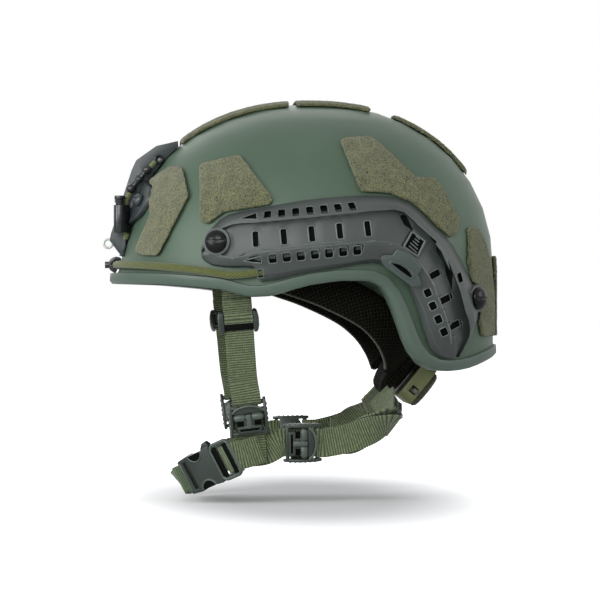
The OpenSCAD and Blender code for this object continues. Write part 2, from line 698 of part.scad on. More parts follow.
// Steel plate on the pocket's floor that a mounting foot locks on
module shroud_insert() color("#1b1e20") lay(face_mid, face_up, face_out) difference() {
    w = pocket_half_w - play;
    h = pocket_z - play;
    translate([-w, -h, 0.2 - pocket_d]) cube([2 * w, 2 * h, 2.2]);
    translate([-5, -6, -8]) cube([10, 16, 6]);
    for (s = [-1, 1]) translate([s * 8, -11, -8]) cylinder(h = 6, r = 1.6);
}

module shroud_screws() color("#3c4446") for (x = [-ear_x, 0.01, ear_x])
    let (p = on_end(x, x * x < 1 ? top_screw_z : ear_z, 0, -1)) at(p, normal_at(p))
        translate([0, 0, plate_gap + plate_t + 0.3])
            dome_bolt(screw_head_r, bolt_r, plate_t + shell_t);

// Small wire loop under the shroud's face
module tether_loop() color("#b9bcb8") translate([0, -138.6, 25.5]) rotate([90, 0, 90])
    rotate_extrude() translate([3, 0]) circle(r = 0.9);

// Front bungee, its route on the left side as [y, z], drawn along the shell
bungee_out = bungee_d / 2 + 1.1;
bungee_line = [[-30, 4.6], [-37, 4.4], [-46, 3], [-56, 2.6], [-68, 4.6], [-80, 6.4], [-92, 7.8],
    [-104, 9], [-114, 9.8], [-121, 10.2], [-125.4, 10.5]];
bungee_left = [for (q = bungee_line) wall_point(plan_angle(q[0]), q[1], bungee_out)];
bungee_front = wall_point(-90, 10.6, bungee_out);
bungee_end = bungee_left[0];
bungee_hole = bungee_left[2];

module front_bungee() color("#78824b") tube(smooth(concat(bungee_left, [bungee_front],
    [for (i = [len(bungee_left) - 1:-1:0]) flip_x(bungee_left[i])]), 2), bungee_d / 2);

// Black keeper that holds the bungee under the shroud
module bungee_retainer() color("#1a1c1d") difference() {
    translate(bungee_front) union() {
        rotate([0, 90, 0]) cylinder(h = 15, r = 5.6, center = true);
        rotate([90, 0, 0]) cylinder(h = 8, r = 2.4);
    }
    front_shell_low();
    tube(smooth([for (x = [10, 5, 0, -5, -10]) let (q = bungee_front)
        [x, end_y(x, q[2], bungee_out, -1) - flare_at(-90, q[2]), q[2]]], 2),
        bungee_d / 2 + 0.3);
}

module front_shell_low() {
    wall_slab(-12, 1.8, -140, -40, -4, 29, 18, 12);
}

// Lanyards on both sides of the shroud. Points are on the left side
lock_base = [29.5, -130.4, 32.5];
cord_step = [-4.1, 4.2, 0];
link_top = [27, -111.5, 76];
link_low = [26, -122.6, 63];
lanyard_eye = [25.5, -103.5, 83.5];
upper_cord = [lanyard_eye + [0.4, -2.4, -1.6], [26.6, -108.5, 78.9], link_top];
lower_cord = [link_low, [25.6, -124, 59], lock_base + cord_step + [0, 0, 21],
    lock_base + cord_step + [0, 0, 12], lock_base + cord_step + [0, 0, 1],
    [24.6, -125.2, 31], [23, -127, 28.4]];

module lanyard_cords() color("#78824b") both() {
    tube(smooth(upper_cord, 2), lanyard_d / 2);
    tube(smooth(lower_cord, 2), lanyard_d / 2);
}

// Black eye on the shroud and the link between the two cords
module lanyard_hooks() color("#141617") both() {
    translate(lanyard_eye) rotate([0, 90, 20]) rotate_extrude() translate([2.6, 0])
        circle(r = 1);
    translate(lanyard_eye - [3.6, 0, 0.6]) rotate([0, 90, 0]) cylinder(h = 2, r = 2.4);
    difference() {
        union() {
            translate(link_top) sphere(r = 3.4);
            translate(link_low) sphere(r = 3.4);
            at(link_low, unit(link_top - link_low))
                cylinder(h = norm(link_top - link_low), r = 2);
            translate(mix(link_top, link_low, 0.5)) sphere(r = 2.9);
        }
        at(link_top, unit(upper_cord[1] - link_top))
            cylinder(h = 6, r = lanyard_d / 2 + 0.15);
        at(link_low, unit(lower_cord[1] - link_low))
            cylinder(h = 6, r = lanyard_d / 2 + 0.15);
    }
}

// Cord lock: a barrel with a well for its sprung button and a hole for the cord
module lock_section() {
    hull() {
        circle(r = lock_r);
        translate([cord_step[0], cord_step[1]]) circle(r = lanyard_d / 2 + 1.3);
    }
}

module cord_locks() color("#1b1d1f") both() translate(lock_base) difference() {
    linear_extrude(lock_l) lock_section();
    translate([0, 0, 5]) cylinder(h = lock_l, r = lock_r - 1);
    translate([cord_step[0], cord_step[1], -1]) cylinder(h = lock_l + 2, r = lanyard_d / 2 + 0.5);
}

module lock_button() {
    translate(lock_base + [0, 0, lock_l - 5]) {
        cylinder(h = 9, r = lock_r - 1 - play);
        translate([0, 0, 9]) cylinder(h = 2.5, r = lock_r - 0.5);
    }
}

module lock_button_left() color("#26292b") lock_button();
module lock_button_right() color("#26292b") mirror([1, 0, 0]) lock_button();

// Thickness share of a cushion at u, v from -1 to 1: full in the middle, drawn in at the edges
function crown_share(u, v) = 0.35 + 0.65 * pow((1 - pow(u, 4)) * (1 - pow(v, 4)), 0.5);
function pad_back(z) = -shell_t - 0.8 - (z < equator_z + 6 ? trim_t : 0);

// Cushion against the shell's inner wall
module wall_pad(a0, a1, z0, z1, na, nz, t) {
    stack([for (i = [0:na]) let (a = mix(a0, a1, i / na), u = 2 * i / na - 1) concat(
        [for (j = [0:nz]) let (z = mix(z0, z1, j / nz)) wall_point(a, z, pad_back(z))],
        [for (j = [nz:-1:0]) let (z = mix(z0, z1, j / nz), v = 2 * j / nz - 1)
            wall_point(a, z, pad_back(z) - t * crown_share(u, v))])]);
}

module crown_pad() color("#24262a") {
    n = 8;
    half_w = 42;
    stack([for (i = [0:n]) let (y = mix(-46, 54, i / n), u = 2 * i / n - 1) concat(
        [for (j = [0:n]) let (x = mix(half_w, -half_w, j / n))
            [x, y, top_z(x, y, -shell_t - 0.5)]],
        [for (j = [n:-1:0]) let (x = mix(half_w, -half_w, j / n), v = 2 * j / n - 1)
            [x, y, top_z(x, y, -shell_t - 0.5) - pad_t * crown_share(u, v)]])]);
}

module front_pad() color("#24262a") wall_pad(-128, -52, 3, 58, 10, 6, pad_t);
module rear_pad() color("#24262a") wall_pad(64, 116, -26, 48, 8, 6, pad_t);
module side_pads() color("#24262a") both() wall_pad(-15, 24, 24, 66, 6, 5, pad_t * 0.7);

// Padded band along a route, with a crowned section
module padded_band(route, across, w, t) {
    m = len(route) - 1;
    section = [[0.5, 0.16], [0.36, 0.44], [0, 0.5], [-0.36, 0.44], [-0.5, 0.16], [-0.5, -0.16],
        [-0.36, -0.44], [0, -0.5], [0.36, -0.44], [0.5, -0.16]];
    stack([for (i = [0:m]) let (
            along = unit(route[min(m, i + 1)] - route[max(0, i - 1)]),
            n = unit(cross(along, across[i])),
            a = cross(n, along))
        [for (q = section) route[i] + a * w * q[0] - n * t * q[1]]]);
}

nape_route = [[94.1, -34, 8], [92.1, -12, 1], [87.3, 10, -7], [80.5, 36, -20], [71, 51, -33],
    [58, 58.5, -45.5], [42.6, 60.6, -56.6]];
nape_across = [[0, 0.3, 1], [0, 0.35, 1], [0, 0.4, 1], [0, 0.5, 1], [0.1, 0.6, 1],
    [0.1, 0.7, 1], [0, 0.75, 1]];

module nape_band() {
    padded_band(smooth(nape_route, 2), smooth(nape_across, 2), band_w, band_t);
}

module nape_band_left() color("#2b2d22") nape_band();
module nape_band_right() color("#2b2d22") mirror([1, 0, 0]) nape_band();

// The dial's frame: its origin on the housing's rear face, +Z out along the knob's axis
dial_y = 81.5;
dial_z = -75.5;
wall = 1.8;
rack_t = 4.6;
rack_play = 8.5;
module_size = 2 * pinion_r / pinion_teeth;
rack_back = 2.6;
rack_reach = 20;

module dial_frame() {
    translate([0, dial_y, dial_z]) rotate([-90 - dial_tilt, 0, 0]) children();
}

module nape_pad() color("#33352a") dial_frame() {
    half_w = 39;
    n = 12;
    k = 14;
    stack([for (i = [0:n]) let (u = -cos(180 * i / n), x = half_w * u,
            grow = 0.25 + 0.75 * pow(1 - pow(abs(u), 4), 0.5))
        [for (j = [k - 1:-1:0]) let (c = cos(j * 360 / k), s = sin(j * 360 / k))
            [x, 23 * grow * spow(c, 0.7),
             -housing_d - 8.15 - 7 * pow(u, 2) + 8 * grow * spow(s, 0.7)]]]);
}

// Housing in two walls round the racks: a tray with a lid on its rear
module housing_plate(h) {
    linear_extrude(h) offset(5) square([2 * housing_half_w - 10, housing_h - 10],
        center = true);
}

inner_h = 2 * (pinion_r + module_size + rack_back) + 2 * play;
module dial_housing() color("#5e643c") dial_frame() difference() {
    translate([0, 0, -housing_d]) housing_plate(housing_d);
    translate([0, 0, -wall - rack_t / 2 - play]) cube([2 * housing_half_w - 4,
        inner_h, rack_t + 2 * play], center = true);
    for (s = [-1, 1]) translate([s * housing_half_w,
            s * (pinion_r + module_size / 2 + rack_back / 2), -wall - rack_t / 2 - play])
        cube([10, rack_back + 2 * module_size + 1, rack_t + 2 * play], center = true);
    translate([0, 0, -wall - 1]) cylinder(h = wall + 2, r = 3 + pin_gap);
    translate([0, 0, -wall - rack_t - 2 * play - 1.5]) cylinder(h = 2, r = 2 + pin_gap);
}

module dial_knob() color("#464a2b") dial_frame() {
    difference() {
        translate([0, 0, play]) union() {
            rotate_extrude() polygon([[0, 0], [dial_r - 1, 0], [dial_r - 0.6, 0.6],
                [dial_r - 0.6, dial_h - 1], [dial_r - 1.6, dial_h], [9, dial_h],
                [8, dial_h - 1.2], [0, dial_h - 1.2]]);
            for (i = [0:23]) rotate([0, 0, i * 15 + 7]) translate([dial_r - 0.8, 0, 0.9])
                cylinder(h = dial_h - 2.2, r = 0.75, $fn = 8);
        }
        for (i = [0:2]) rotate([0, 0, i * 120]) translate([0, 5, dial_h])
            cube([1.6, 4, 2.4], center = true);
    }
    translate([0, 0, -wall - play]) cylinder(h = wall + 3 * play + 0.5, r = 3);
}

// Pinion between the two racks, with straight-sided teeth
module dial_pinion() color("#8b8f8c") dial_frame() {
    translate([0, 0, -wall - play - rack_t]) linear_extrude(rack_t) union() {
        circle(r = pinion_r - module_size * 1.05);
        for (i = [0:pinion_teeth - 1]) rotate(i * 360 / pinion_teeth)
            polygon([[pinion_r - 1.4 * module_size, -module_size * 0.9],
                [pinion_r, -module_size * 0.62], [pinion_r + 0.8 * module_size,
                -module_size * 0.26], [pinion_r + 0.8 * module_size, module_size * 0.26],
                [pinion_r, module_size * 0.62], [pinion_r - 1.4 * module_size,
                module_size * 0.9]]);
    }
    translate([0, 0, -wall - rack_t - 2 * play - 1.2]) cylinder(h = 2.5, r = 2);
}

// Rack along +X above the pinion, its teeth on the pitch line
module dial_rack() {
    pitch = PI * module_size;
    reach = rack_reach + housing_half_w;
    translate([0, pinion_r, -wall - play - rack_t]) linear_extrude(rack_t) {
        translate([-rack_play - 5, module_size * 1.1]) square([reach + rack_play + 5, rack_back]);
        for (i = [-4:4]) translate([i * pitch, 0])
            polygon([[-module_size * 0.3, -module_size * 0.75],
                [module_size * 0.3, -module_size * 0.75], [module_size * 0.6, 0],
                [module_size * 1.1, module_size * 1.2], [-module_size * 1.1, module_size * 1.2],
                [-module_size * 0.6, 0]]);
    }
}

module dial_rack_right() color("#30332a") dial_frame() rotate(180) dial_rack();
module dial_rack_left() color("#30332a") dial_frame() dial_rack();

// Front strap: from its tab on the rail's bolt, down to the adjuster, round its bar and back up
layer = web_t + web_gap;
bar_y = adjuster_l / 2 - 2;
bar_r = 1.7;
wrap = bar_r + play + web_t / 2;
strap_out_off = -shell_t - strap_gap;
tab_rows = [[37, 0], [24, 0], [13, 0.2], [5, 1.8], [-4, trim_t + 3.1]];
function tab_y(z) = lookup(z, [[-4, -53.5], [13, -58], [24, front_bolt[0]], [37, -65.5]]);
web_start = on_side(-53.2, -1.5, strap_out_off - trim_t - 3.1 - web_t / 2);
front_up = unit(web_low - junction);
front_face = [1, 0, -0.2];
strap_run = unit(web_mouth - web_low);
strap_wide = laid([0, 0, 0], front_up, front_face, [-1, 0, 0]);
strap_out = unit(cross(strap_wide, strap_run));
glide_at = mix(web_mouth, web_low, 0.36);

// Points on an arc round c, from u towards v
function arc(c, u, v, r, a0, a1, n) =
    [for (i = [0:n]) let (a = mix(a0, a1, i / n)) c + r * (cos(a) * u + sin(a) * v)];

// World point of a place in an adjuster's own frame
function laid(p, along, face, q) = let (
        y = unit(along), z = unit(face - y * (face * y)), x = cross(y, z))
    p + x * q[0] + y * q[1] + z * q[2];

module strap_tab() {
    n = len(tab_rows);
    stack([for (i = [4:-1:0]) let (y = web_w * (i / 4 - 0.5)) concat(
        [for (r = tab_rows) on_side(tab_y(r[0]) + y, r[0], strap_out_off - r[1])],
        [for (j = [n - 1:-1:0]) let (r = tab_rows[j])
            on_side(tab_y(r[0]) + y, r[0], strap_out_off - r[1] - web_t)])]);
}

module front_strap() {
    upper = [web_start, web_mouth, mix(web_mouth, web_low, 0.5), web_low];
    turn = arc(laid(adjuster_front, front_up, front_face, [0, bar_y, 0]),
        laid([0, 0, 0], front_up, front_face, [0, 0, 1]),
        laid([0, 0, 0], front_up, front_face, [0, -1, 0]), wrap, 0, 180, 6);
    lead = laid(adjuster_front, front_up, front_face, [0, bar_y + 5, wrap]);
    tail = laid(adjuster_front, front_up, front_face, [0, bar_y + 5, -wrap]);
    back = [for (s = [1, 0.5, 0.05]) mix(web_mouth, web_low, s) - strap_out * layer];
    route = concat(upper, [lead], turn, [tail], back);
    bolt = on_side(front_bolt[0], front_bolt[1], 0);
    difference() {
        union() {
            strap_tab();
            ribbon(smooth(route, 2), smooth([for (r = route) strap_wide], 2), web_w, web_t);
        }
        at(bolt, normal_at(bolt)) translate([0, 0, -nut_seat - 3])
            cylinder(h = 10, r = shell_hole_r);
    }
}

module front_strap_left() color("#4c5a40") front_strap();
module front_strap_right() color("#4c5a40") mirror([1, 0, 0]) front_strap();

// Rear strap: from the rear adjuster's bar to the ring, round it and back
rear_along = [0, 1, 0.02];
rear_face = [1, 0, -0.12];
ring_long = unit([0.55, 0.5, 0.75]);
function across_ring(v) = unit(v - ring_long * (v * ring_long));
ring_in = across_ring([-22, 3, 17.5]);
rear_pull = across_ring([-0.45, 0.87, 0.05]);
rear_out_side = cross(rear_pull, ring_long);
ring_half = 4.8;
ring_bar = ring_at - ring_in * ring_half;
ring_r = 1.4;
rear_wrap = ring_r * sqrt(2) + play + web_t / 2;
ring_flat = cross(ring_in, ring_long);
ring_side = ring_flat[0] > 0 ? ring_flat : -ring_flat;

module rear_strap() {
    turn = arc(laid(adjuster_rear, rear_along, rear_face, [0, bar_y, 0]),
        laid([0, 0, 0], rear_along, rear_face, [0, 0, -1]),
        laid([0, 0, 0], rear_along, rear_face, [0, -1, 0]), wrap, 0, 180, 6);
    start = laid(adjuster_rear, rear_along, rear_face, [0, bar_y + 8, -wrap]);
    lead = laid(adjuster_rear, rear_along, rear_face, [0, bar_y + 5, wrap]);
    outer = [[63.8, 28, -107.5], ring_bar + rear_out_side * rear_wrap - rear_pull * 7];
    loop = arc(ring_bar, rear_out_side, rear_pull, rear_wrap, 0, 180, 6);
    inner = [ring_bar - rear_out_side * rear_wrap - rear_pull * 7, [58.6, 30, -108.2],
        [58.8, 22, -109.8]];
    across = concat([for (i = [0:8]) rear_wide], [[0, -0.05, 1]],
        [for (i = [0:8]) ring_long], [[0, -0.03, 1], [0, -0.06, 1]]);
    ribbon(smooth(concat([start], turn, [lead], outer, loop, inner), 2), smooth(across, 2),
        web_w, web_t);
}

module rear_strap_left() color("#4c5a40") rear_strap();
module rear_strap_right() color("#4c5a40") mirror([1, 0, 0]) rear_strap();

// Oval ring, and the short tab that carries it on the nape pad
module nape_rings() color("#3a413c") both() translate(ring_at)
    multmatrix([[ring_in[0], ring_long[0], ring_flat[0], 0],
        [ring_in[1], ring_long[1], ring_flat[1], 0],
        [ring_in[2], ring_long[2], ring_flat[2], 0], [0, 0, 0, 1]])
    translate([0, 0, -ring_r]) linear_extrude(2 * ring_r) difference() {
        offset(3) square([2 * ring_half + 2 * ring_r - 6, web_w + 3 + 2 * ring_r - 6],
            center = true);
        offset(1) square([2 * ring_half - 2 * ring_r - 2, web_w], center = true);
    }

tab_end = [31, 49, -79.9];
tab_wide = [0.3, 0.75, 0.6];
module nape_tabs() color("#4c5a40") both() {
    bar = ring_at + ring_in * ring_half;
    loop = arc(bar, -ring_side, ring_in * -1, rear_wrap, -20, 200, 7);
    route = concat([tab_end, mix(tab_end, loop[0], 0.5)], loop, [tab_end + [6, 3, 1]]);
    across = concat([tab_wide, tab_wide], [for (i = [0:7]) ring_long], [tab_wide]);
    ribbon(smooth(route, 2), smooth(across, 2), web_w - 2, web_t);
}

// Webbing below the adjusters: front, rear and, on the left, forward to the buckle's plug
rear_wide = laid([0, 0, 0], rear_along, rear_face, [-1, 0, 0]);
front_low = laid(adjuster_front, front_up, front_face, [0, 3, -0.9]);
front_out = laid(adjuster_front, front_up, front_face, [0, -bar_y - 4, -0.9]);
rear_low = laid(adjuster_rear, rear_along, rear_face, [0, 3, -0.9]);
rear_out = laid(adjuster_rear, rear_along, rear_face, [0, -bar_y - 4, -0.9]);
buckle_at = [50, -63, -125.5];
buckle_along = [-0.55, -0.745, -0.38];
buckle_face = [1, 0, 0];
plug_bar = -8.3;
plug_bar_r = 1.5;

module junction_side() {
    ribbon(smooth([front_low, mix(front_low, front_out, 0.5), front_out,
            junction + [-0.3, 0.2, -1], junction + [-0.3, 0.5, -8]], 2),
        smooth([strap_wide, strap_wide, strap_wide, [0, -1, 0], [0, -1, 0]], 2), web_w, web_t);
    ribbon(smooth([rear_low, mix(rear_low, rear_out, 0.5), rear_out,
            junction + [-2.6, 8.8, 0], junction + [-2.6, -4, -1.4]], 2),
        smooth([rear_wide, rear_wide, rear_wide, [0, -0.12, 1], [0, -0.2, 1]], 2),
        web_w, web_t);
}

// Frame of the buckle: a place in it, and the direction of its width
function in_buckle(q) = laid(buckle_at, buckle_along, buckle_face, q);
buckle_wide = laid([0, 0, 0], buckle_along, buckle_face, [1, 0, 0]);
plug_wrap = plug_bar_r + play + web_t / 2;

module junction_webbing() color("#4c5a40") {
    both() junction_side();
    turn = arc(in_buckle([0, plug_bar, 0]), in_buckle([0, 0, 1]) - buckle_at,
        in_buckle([0, 1, 0]) - buckle_at, plug_wrap, 0, 180, 6);
    ribbon(smooth(concat([junction + [1.5, 6, 1.5], junction + [2.1, -5, -2],
            in_buckle([0, plug_bar - 6, plug_wrap])], turn,
            [in_buckle([0, plug_bar - 6, -plug_wrap]), in_buckle([0, plug_bar - 12, -3.5])]), 2),
        smooth(concat([[0, -0.2, 1], [0, -0.3, 1]], [for (i = [0:9]) buckle_wide]), 2),
        web_w, web_t);
}

// Chin strap from the buckle's socket, under the chin, to the right junction
chin_route = [in_buckle([0, socket_l - 1.8, 0]), in_buckle([0, socket_l + 2, 0]),
    in_buckle([0, socket_l + 7, 0.3]),
    [20, -86.5, -141], [0, -88, -142.5], [-20, -86, -142], [-38, -75, -139],
    [-51, -57, -129.5], [-54.4, -46, -122.5], [-54.6, -39, -118.5]];

module chin_strap() color("#4c5a40") {
    ribbon(smooth(chin_route, 3), smooth([buckle_wide, buckle_wide, buckle_wide, [0, -0.62, 0.78],
        [0, -0.66, 0.75], [0, -0.6, 0.8], [0, -0.5, 0.86], [0, -0.4, 0.9], [0, -0.2, 1],
        [0, -0.2, 1]], 3), web_w, web_t);
}

// Adjuster frame: two cheeks, a base under the webbing and a bar at each end
cheek_x = web_w / 2 + 1 + cheek_t / 2;
low_bar_r = 1.3;
pin_at = [0, 1, cam_r + 0.2];

module cheek_outline() {
    offset(2) polygon([[-adjuster_l / 2 + 2, -1], [adjuster_l / 2 - 2, -1],
        [adjuster_l / 2 - 2.5, 1.6], [4, cheek_h - 5.2], [-3, cheek_h - 5.2],
        [-adjuster_l / 2 + 2, 1]]);
}

module adjuster_frame() {
    difference() {
        union() {
            for (s = [-1, 1]) translate([s * cheek_x - cheek_t / 2, 0, 0])
                side_extrude(cheek_t) cheek_outline();
            translate([-cheek_x, bar_y, 0]) rotate([0, 90, 0])
                cylinder(h = 2 * cheek_x, r = bar_r);
            translate([-cheek_x, -bar_y, low_bar_r + 0.6]) rotate([0, 90, 0])
                cylinder(h = 2 * cheek_x, r = low_bar_r);
            translate([-cheek_x, -8, -3]) cube([2 * cheek_x, 14, 1.1]);
        }
        translate(pin_at) rotate([0, 90, 0]) cylinder(h = 4 * cheek_x, r = pin_r + pin_gap,
            center = true);
    }
}

module adjusters() {
    both() {
        lay(adjuster_front, front_up, front_face) children();
        lay(adjuster_rear, rear_along, rear_face) children();
    }
}

module adjuster_frames() color("#39423c") adjusters() adjuster_frame();
module adjuster_pins() color("#1d2021") adjusters() translate(pin_at) rotate([0, 90, 0])
    cylinder(h = 2 * cheek_x + cheek_t, r = pin_r, center = true);

// Cam lever: a barrel on the pin, a neck and a bar to lift
module cam_lever() {
    half = cheek_x - cheek_t / 2 - play;
    difference() {
        union() {
            translate(pin_at) rotate([0, 90, 0]) cylinder(h = 2 * half, r = cam_r,
                center = true);
            translate([-4.5, -6.5, pin_at[2] - 0.4]) cube([9, 7.5, 2]);
            translate([-8.2, -9.8, pin_at[2] - 0.4]) linear_extrude(2) offset(1)
                translate([1, 1]) square([14.4, 3]);
            translate([-2, -6.5, pin_at[2] + 1.6]) cube([4, 6.5, 1]);
        }
        translate(pin_at) rotate([0, 90, 0]) cylinder(h = 4 * half, r = pin_r + pin_gap,
            center = true);
    }
}

module cam_lever_front_left() color("#39423c")
    lay(adjuster_front, front_up, front_face) cam_lever();
module cam_lever_front_right() color("#39423c") mirror([1, 0, 0])
    lay(adjuster_front, front_up, front_face) cam_lever();
module cam_lever_rear_left() color("#39423c")
    lay(adjuster_rear, rear_along, rear_face) cam_lever();
module cam_lever_rear_right() color("#39423c") mirror([1, 0, 0])
    lay(adjuster_rear, rear_along, rear_face) cam_lever();

// Tri-glide round both layers of the front strap: two rounded ends, two bars and a back bar
glide_l = 15;
glide_room = 2 * web_t + web_gap + 4 * play;
glide_shift = -layer / 2;

module triglide() {
    lay(glide_at + strap_out * glide_shift, strap_run, strap_out) {
        for (s = [-1, 1]) translate([s * (web_w / 2 + 1.9), 0, -glide_room / 2 - 1.4])
            linear_extrude(glide_room + 2.8) offset(1) square([0.6, glide_l - 3],
                center = true);
        for (s = [-1, 1]) translate([-web_w / 2 - 2, s * (glide_l / 2 - 2.4) - 1.2,
                glide_room / 2]) cube([web_w + 4, 2.4, 1.4]);
        translate([-web_w / 2 - 2, -2, -glide_room / 2 - 1.4]) cube([web_w + 4, 4, 1.4]);
    }
}

module triglide_left() color("#39423c") triglide();
module triglide_right() color("#39423c") mirror([1, 0, 0]) triglide();

// Side-release buckle along +Y. The plug lies at negative y, the socket from y = 0
prong_w = 3.4;
prong_t = 3.2;
socket_wall = 1.7;
tongue_w = 4;
bay_x = buckle_w / 2 - socket_wall - play;

module socket_outline() {
    offset(1.5) polygon([[-buckle_w / 2 + 1.5, 1.5], [buckle_w / 2 - 1.5, 1.5],
        [buckle_w / 2 - 2.5, 9], [buckle_w / 2 - 2.5, 17], [buckle_w / 2 - 1.5, socket_l - 9],
        [buckle_w / 2 - 2.5, socket_l - 1.5], [-buckle_w / 2 + 2.5, socket_l - 1.5],
        [-buckle_w / 2 + 1.5, socket_l - 9], [-buckle_w / 2 + 2.5, 17],
        [-buckle_w / 2 + 2.5, 9]]);
}

module buckle_socket() color("#39423c") lay(buckle_at, buckle_along, buckle_face)
    difference() {
        translate([0, 0, -buckle_t / 2]) linear_extrude(buckle_t) socket_outline();
        translate([0, 7.5, 0]) cube([2 * bay_x, 19, prong_t + 2 * play], center = true);
        for (s = [-1, 1]) translate([s * (buckle_w / 2 - 0.6), 11.5, 0])
            cube([5.4, 8.4, buckle_t - 2.4], center = true);
        translate([0, socket_l - 5.6, 0]) cube([web_w + 1.2, 3.6, buckle_t + 2], center = true);
        translate([0, socket_l - 0.9, 0]) cube([web_w + 1.2, 3, web_t + 0.7], center = true);
    }

// Plug: a ladder frame for the webbing, a middle tongue and two arms with catches
module buckle_plug() color("#39423c") lay(buckle_at, buckle_along, buckle_face) {
    half = buckle_w / 2 - 1;
    rail_w = half - web_w / 2 - 0.6;
    for (s = [-1, 1]) translate([s * (half - rail_w / 2), -7.8, 0]) {
        translate([0, 0, 0.6 - buckle_t / 2]) linear_extrude(buckle_t - 1.2) offset(0.8)
            square([rail_w - 1.6, 12], center = true);
    }
    for (y = [plug_bar, plug_bar - 5.2]) translate([-half + 1, y, 0]) rotate([0, 90, 0])
        cylinder(h = 2 * half - 2, r = y == plug_bar ? plug_bar_r : 1.2);
    translate([1 - half, -2.6, -prong_t / 2]) cube([2 * half - 2, 1.8, prong_t]);
    translate([-tongue_w / 2, -1.5, -prong_t / 2]) cube([tongue_w, 13.5, prong_t]);
    for (s = [0, 1]) mirror([s, 0, 0]) translate([0, 0, -prong_t / 2]) linear_extrude(prong_t)
        polygon([[bay_x - prong_w, -1.5], [bay_x - 0.9, -1.5], [bay_x - 0.9, 6],
            [bay_x - 0.35, 8.4], [bay_x - 0.35, 12], [bay_x - 1.5, 15.2],
            [bay_x - 3.2, 15.2], [bay_x - prong_w + 0.5, 12]]);
}

shell();
edge_trim();
front_patches();
temple_patches();
side_patches();
rear_corner_patches();
crown_front_patch();
crown_patch();
crown_rear_patch();
rear_patch();
rail_left();
rail_right();
rail_latch_left();
rail_latch_right();
strap_clips();
rail_bolts();
rail_nuts();
shroud_base();
shroud_insert();
shroud_screws();
tether_loop();
front_bungee();
bungee_retainer();
lanyard_cords();
lanyard_hooks();
cord_locks();
lock_button_left();
lock_button_right();
crown_pad();
front_pad();
rear_pad();
side_pads();
nape_band_left();
nape_band_right();
nape_pad();
dial_housing();
dial_knob();
dial_pinion();
dial_rack_left();
dial_rack_right();
front_strap_left();
front_strap_right();
rear_strap_left();
rear_strap_right();
junction_webbing();
chin_strap();
adjuster_frames();
adjuster_pins();
cam_lever_front_left();
cam_lever_front_right();
cam_lever_rear_left();
cam_lever_rear_right();
triglide_left();
triglide_right();
nape_rings();
nape_tabs();
buckle_socket();
buckle_plug();
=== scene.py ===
import json
import math
import bpy
from mathutils import Matrix, Vector
from mathutils.bvhtree import BVHTree


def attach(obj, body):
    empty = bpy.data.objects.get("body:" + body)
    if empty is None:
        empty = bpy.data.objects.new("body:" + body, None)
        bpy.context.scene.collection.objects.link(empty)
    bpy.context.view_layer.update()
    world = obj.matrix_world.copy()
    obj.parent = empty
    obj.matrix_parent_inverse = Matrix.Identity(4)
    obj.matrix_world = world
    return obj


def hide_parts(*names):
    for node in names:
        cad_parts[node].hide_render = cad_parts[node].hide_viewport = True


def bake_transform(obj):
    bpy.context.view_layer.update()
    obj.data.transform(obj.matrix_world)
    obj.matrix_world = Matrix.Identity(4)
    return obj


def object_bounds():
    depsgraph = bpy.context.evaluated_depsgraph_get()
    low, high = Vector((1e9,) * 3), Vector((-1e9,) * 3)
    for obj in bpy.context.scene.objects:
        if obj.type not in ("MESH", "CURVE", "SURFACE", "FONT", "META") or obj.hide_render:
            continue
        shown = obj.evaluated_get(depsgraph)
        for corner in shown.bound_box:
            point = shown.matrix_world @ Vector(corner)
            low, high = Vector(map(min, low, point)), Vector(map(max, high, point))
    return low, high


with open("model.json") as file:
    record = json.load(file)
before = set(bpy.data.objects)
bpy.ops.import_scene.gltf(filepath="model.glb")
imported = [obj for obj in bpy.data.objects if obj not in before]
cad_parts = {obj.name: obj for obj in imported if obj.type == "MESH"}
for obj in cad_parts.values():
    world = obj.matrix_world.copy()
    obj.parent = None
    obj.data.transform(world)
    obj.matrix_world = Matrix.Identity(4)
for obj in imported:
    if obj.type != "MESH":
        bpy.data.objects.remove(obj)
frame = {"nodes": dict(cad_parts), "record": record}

cadBox = [list(corner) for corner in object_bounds()]
record = frame["record"]
bodyOf = {node: body for body, nodes in record["behaviour"]["bodies"].items() for node in nodes}


# small tools

def colour(text):
    parts = [int(text[i:i + 2], 16) / 255 for i in (0, 2, 4)]
    return tuple(((p + 0.055) / 1.055) ** 2.4 if p > 0.04045 else p / 12.92 for p in parts) + (1,)


def only(piece):
    bpy.ops.object.select_all(action="DESELECT")
    piece.select_set(True)
    bpy.context.view_layer.objects.active = piece


def edited(piece, *steps):
    # each step is an edit-mode operator with its values, run on the whole mesh
    only(piece)
    bpy.ops.object.mode_set(mode="EDIT")
    for step, values in steps:
        bpy.ops.mesh.select_all(action="SELECT")
        step(**values)
    bpy.ops.object.mode_set(mode="OBJECT")


def modify(piece, name, kind, **values):
    modifier = piece.modifiers.new(name, kind)
    for key, value in values.items():
        setattr(modifier, key, value)


def applyModifiers(piece):
    only(piece)
    for modifier in list(piece.modifiers):
        bpy.ops.object.modifier_apply(modifier=modifier.name)


def smoothShade(piece, angle=35):
    only(piece)
    bpy.ops.object.shade_smooth_by_angle(angle=math.radians(angle))


def link(name, mesh):
    piece = bpy.data.objects.new(name, mesh)
    bpy.context.scene.collection.objects.link(piece)
    return piece


def named(name):
    piece = bpy.context.object
    piece.name = piece.data.name = name
    return piece


def wear(piece, finish):
    piece.data.materials.clear()
    piece.data.materials.append(finishes[finish])
    return piece


def settle(piece, body, finish, *nodes):
    if not piece.data.materials:
        wear(piece, finish)
    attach(piece, body)
    if nodes:
        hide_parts(*nodes)


def settleBoth(piece, node, finish):
    # a left piece and its mirror, each in the place of its own node
    other = mirrorOf(piece, piece.name.replace("Left", "Right"))
    for each, side in ((piece, "_left"), (other, "_right")):
        settle(each, bodyOf[node + side], finish, node + side)


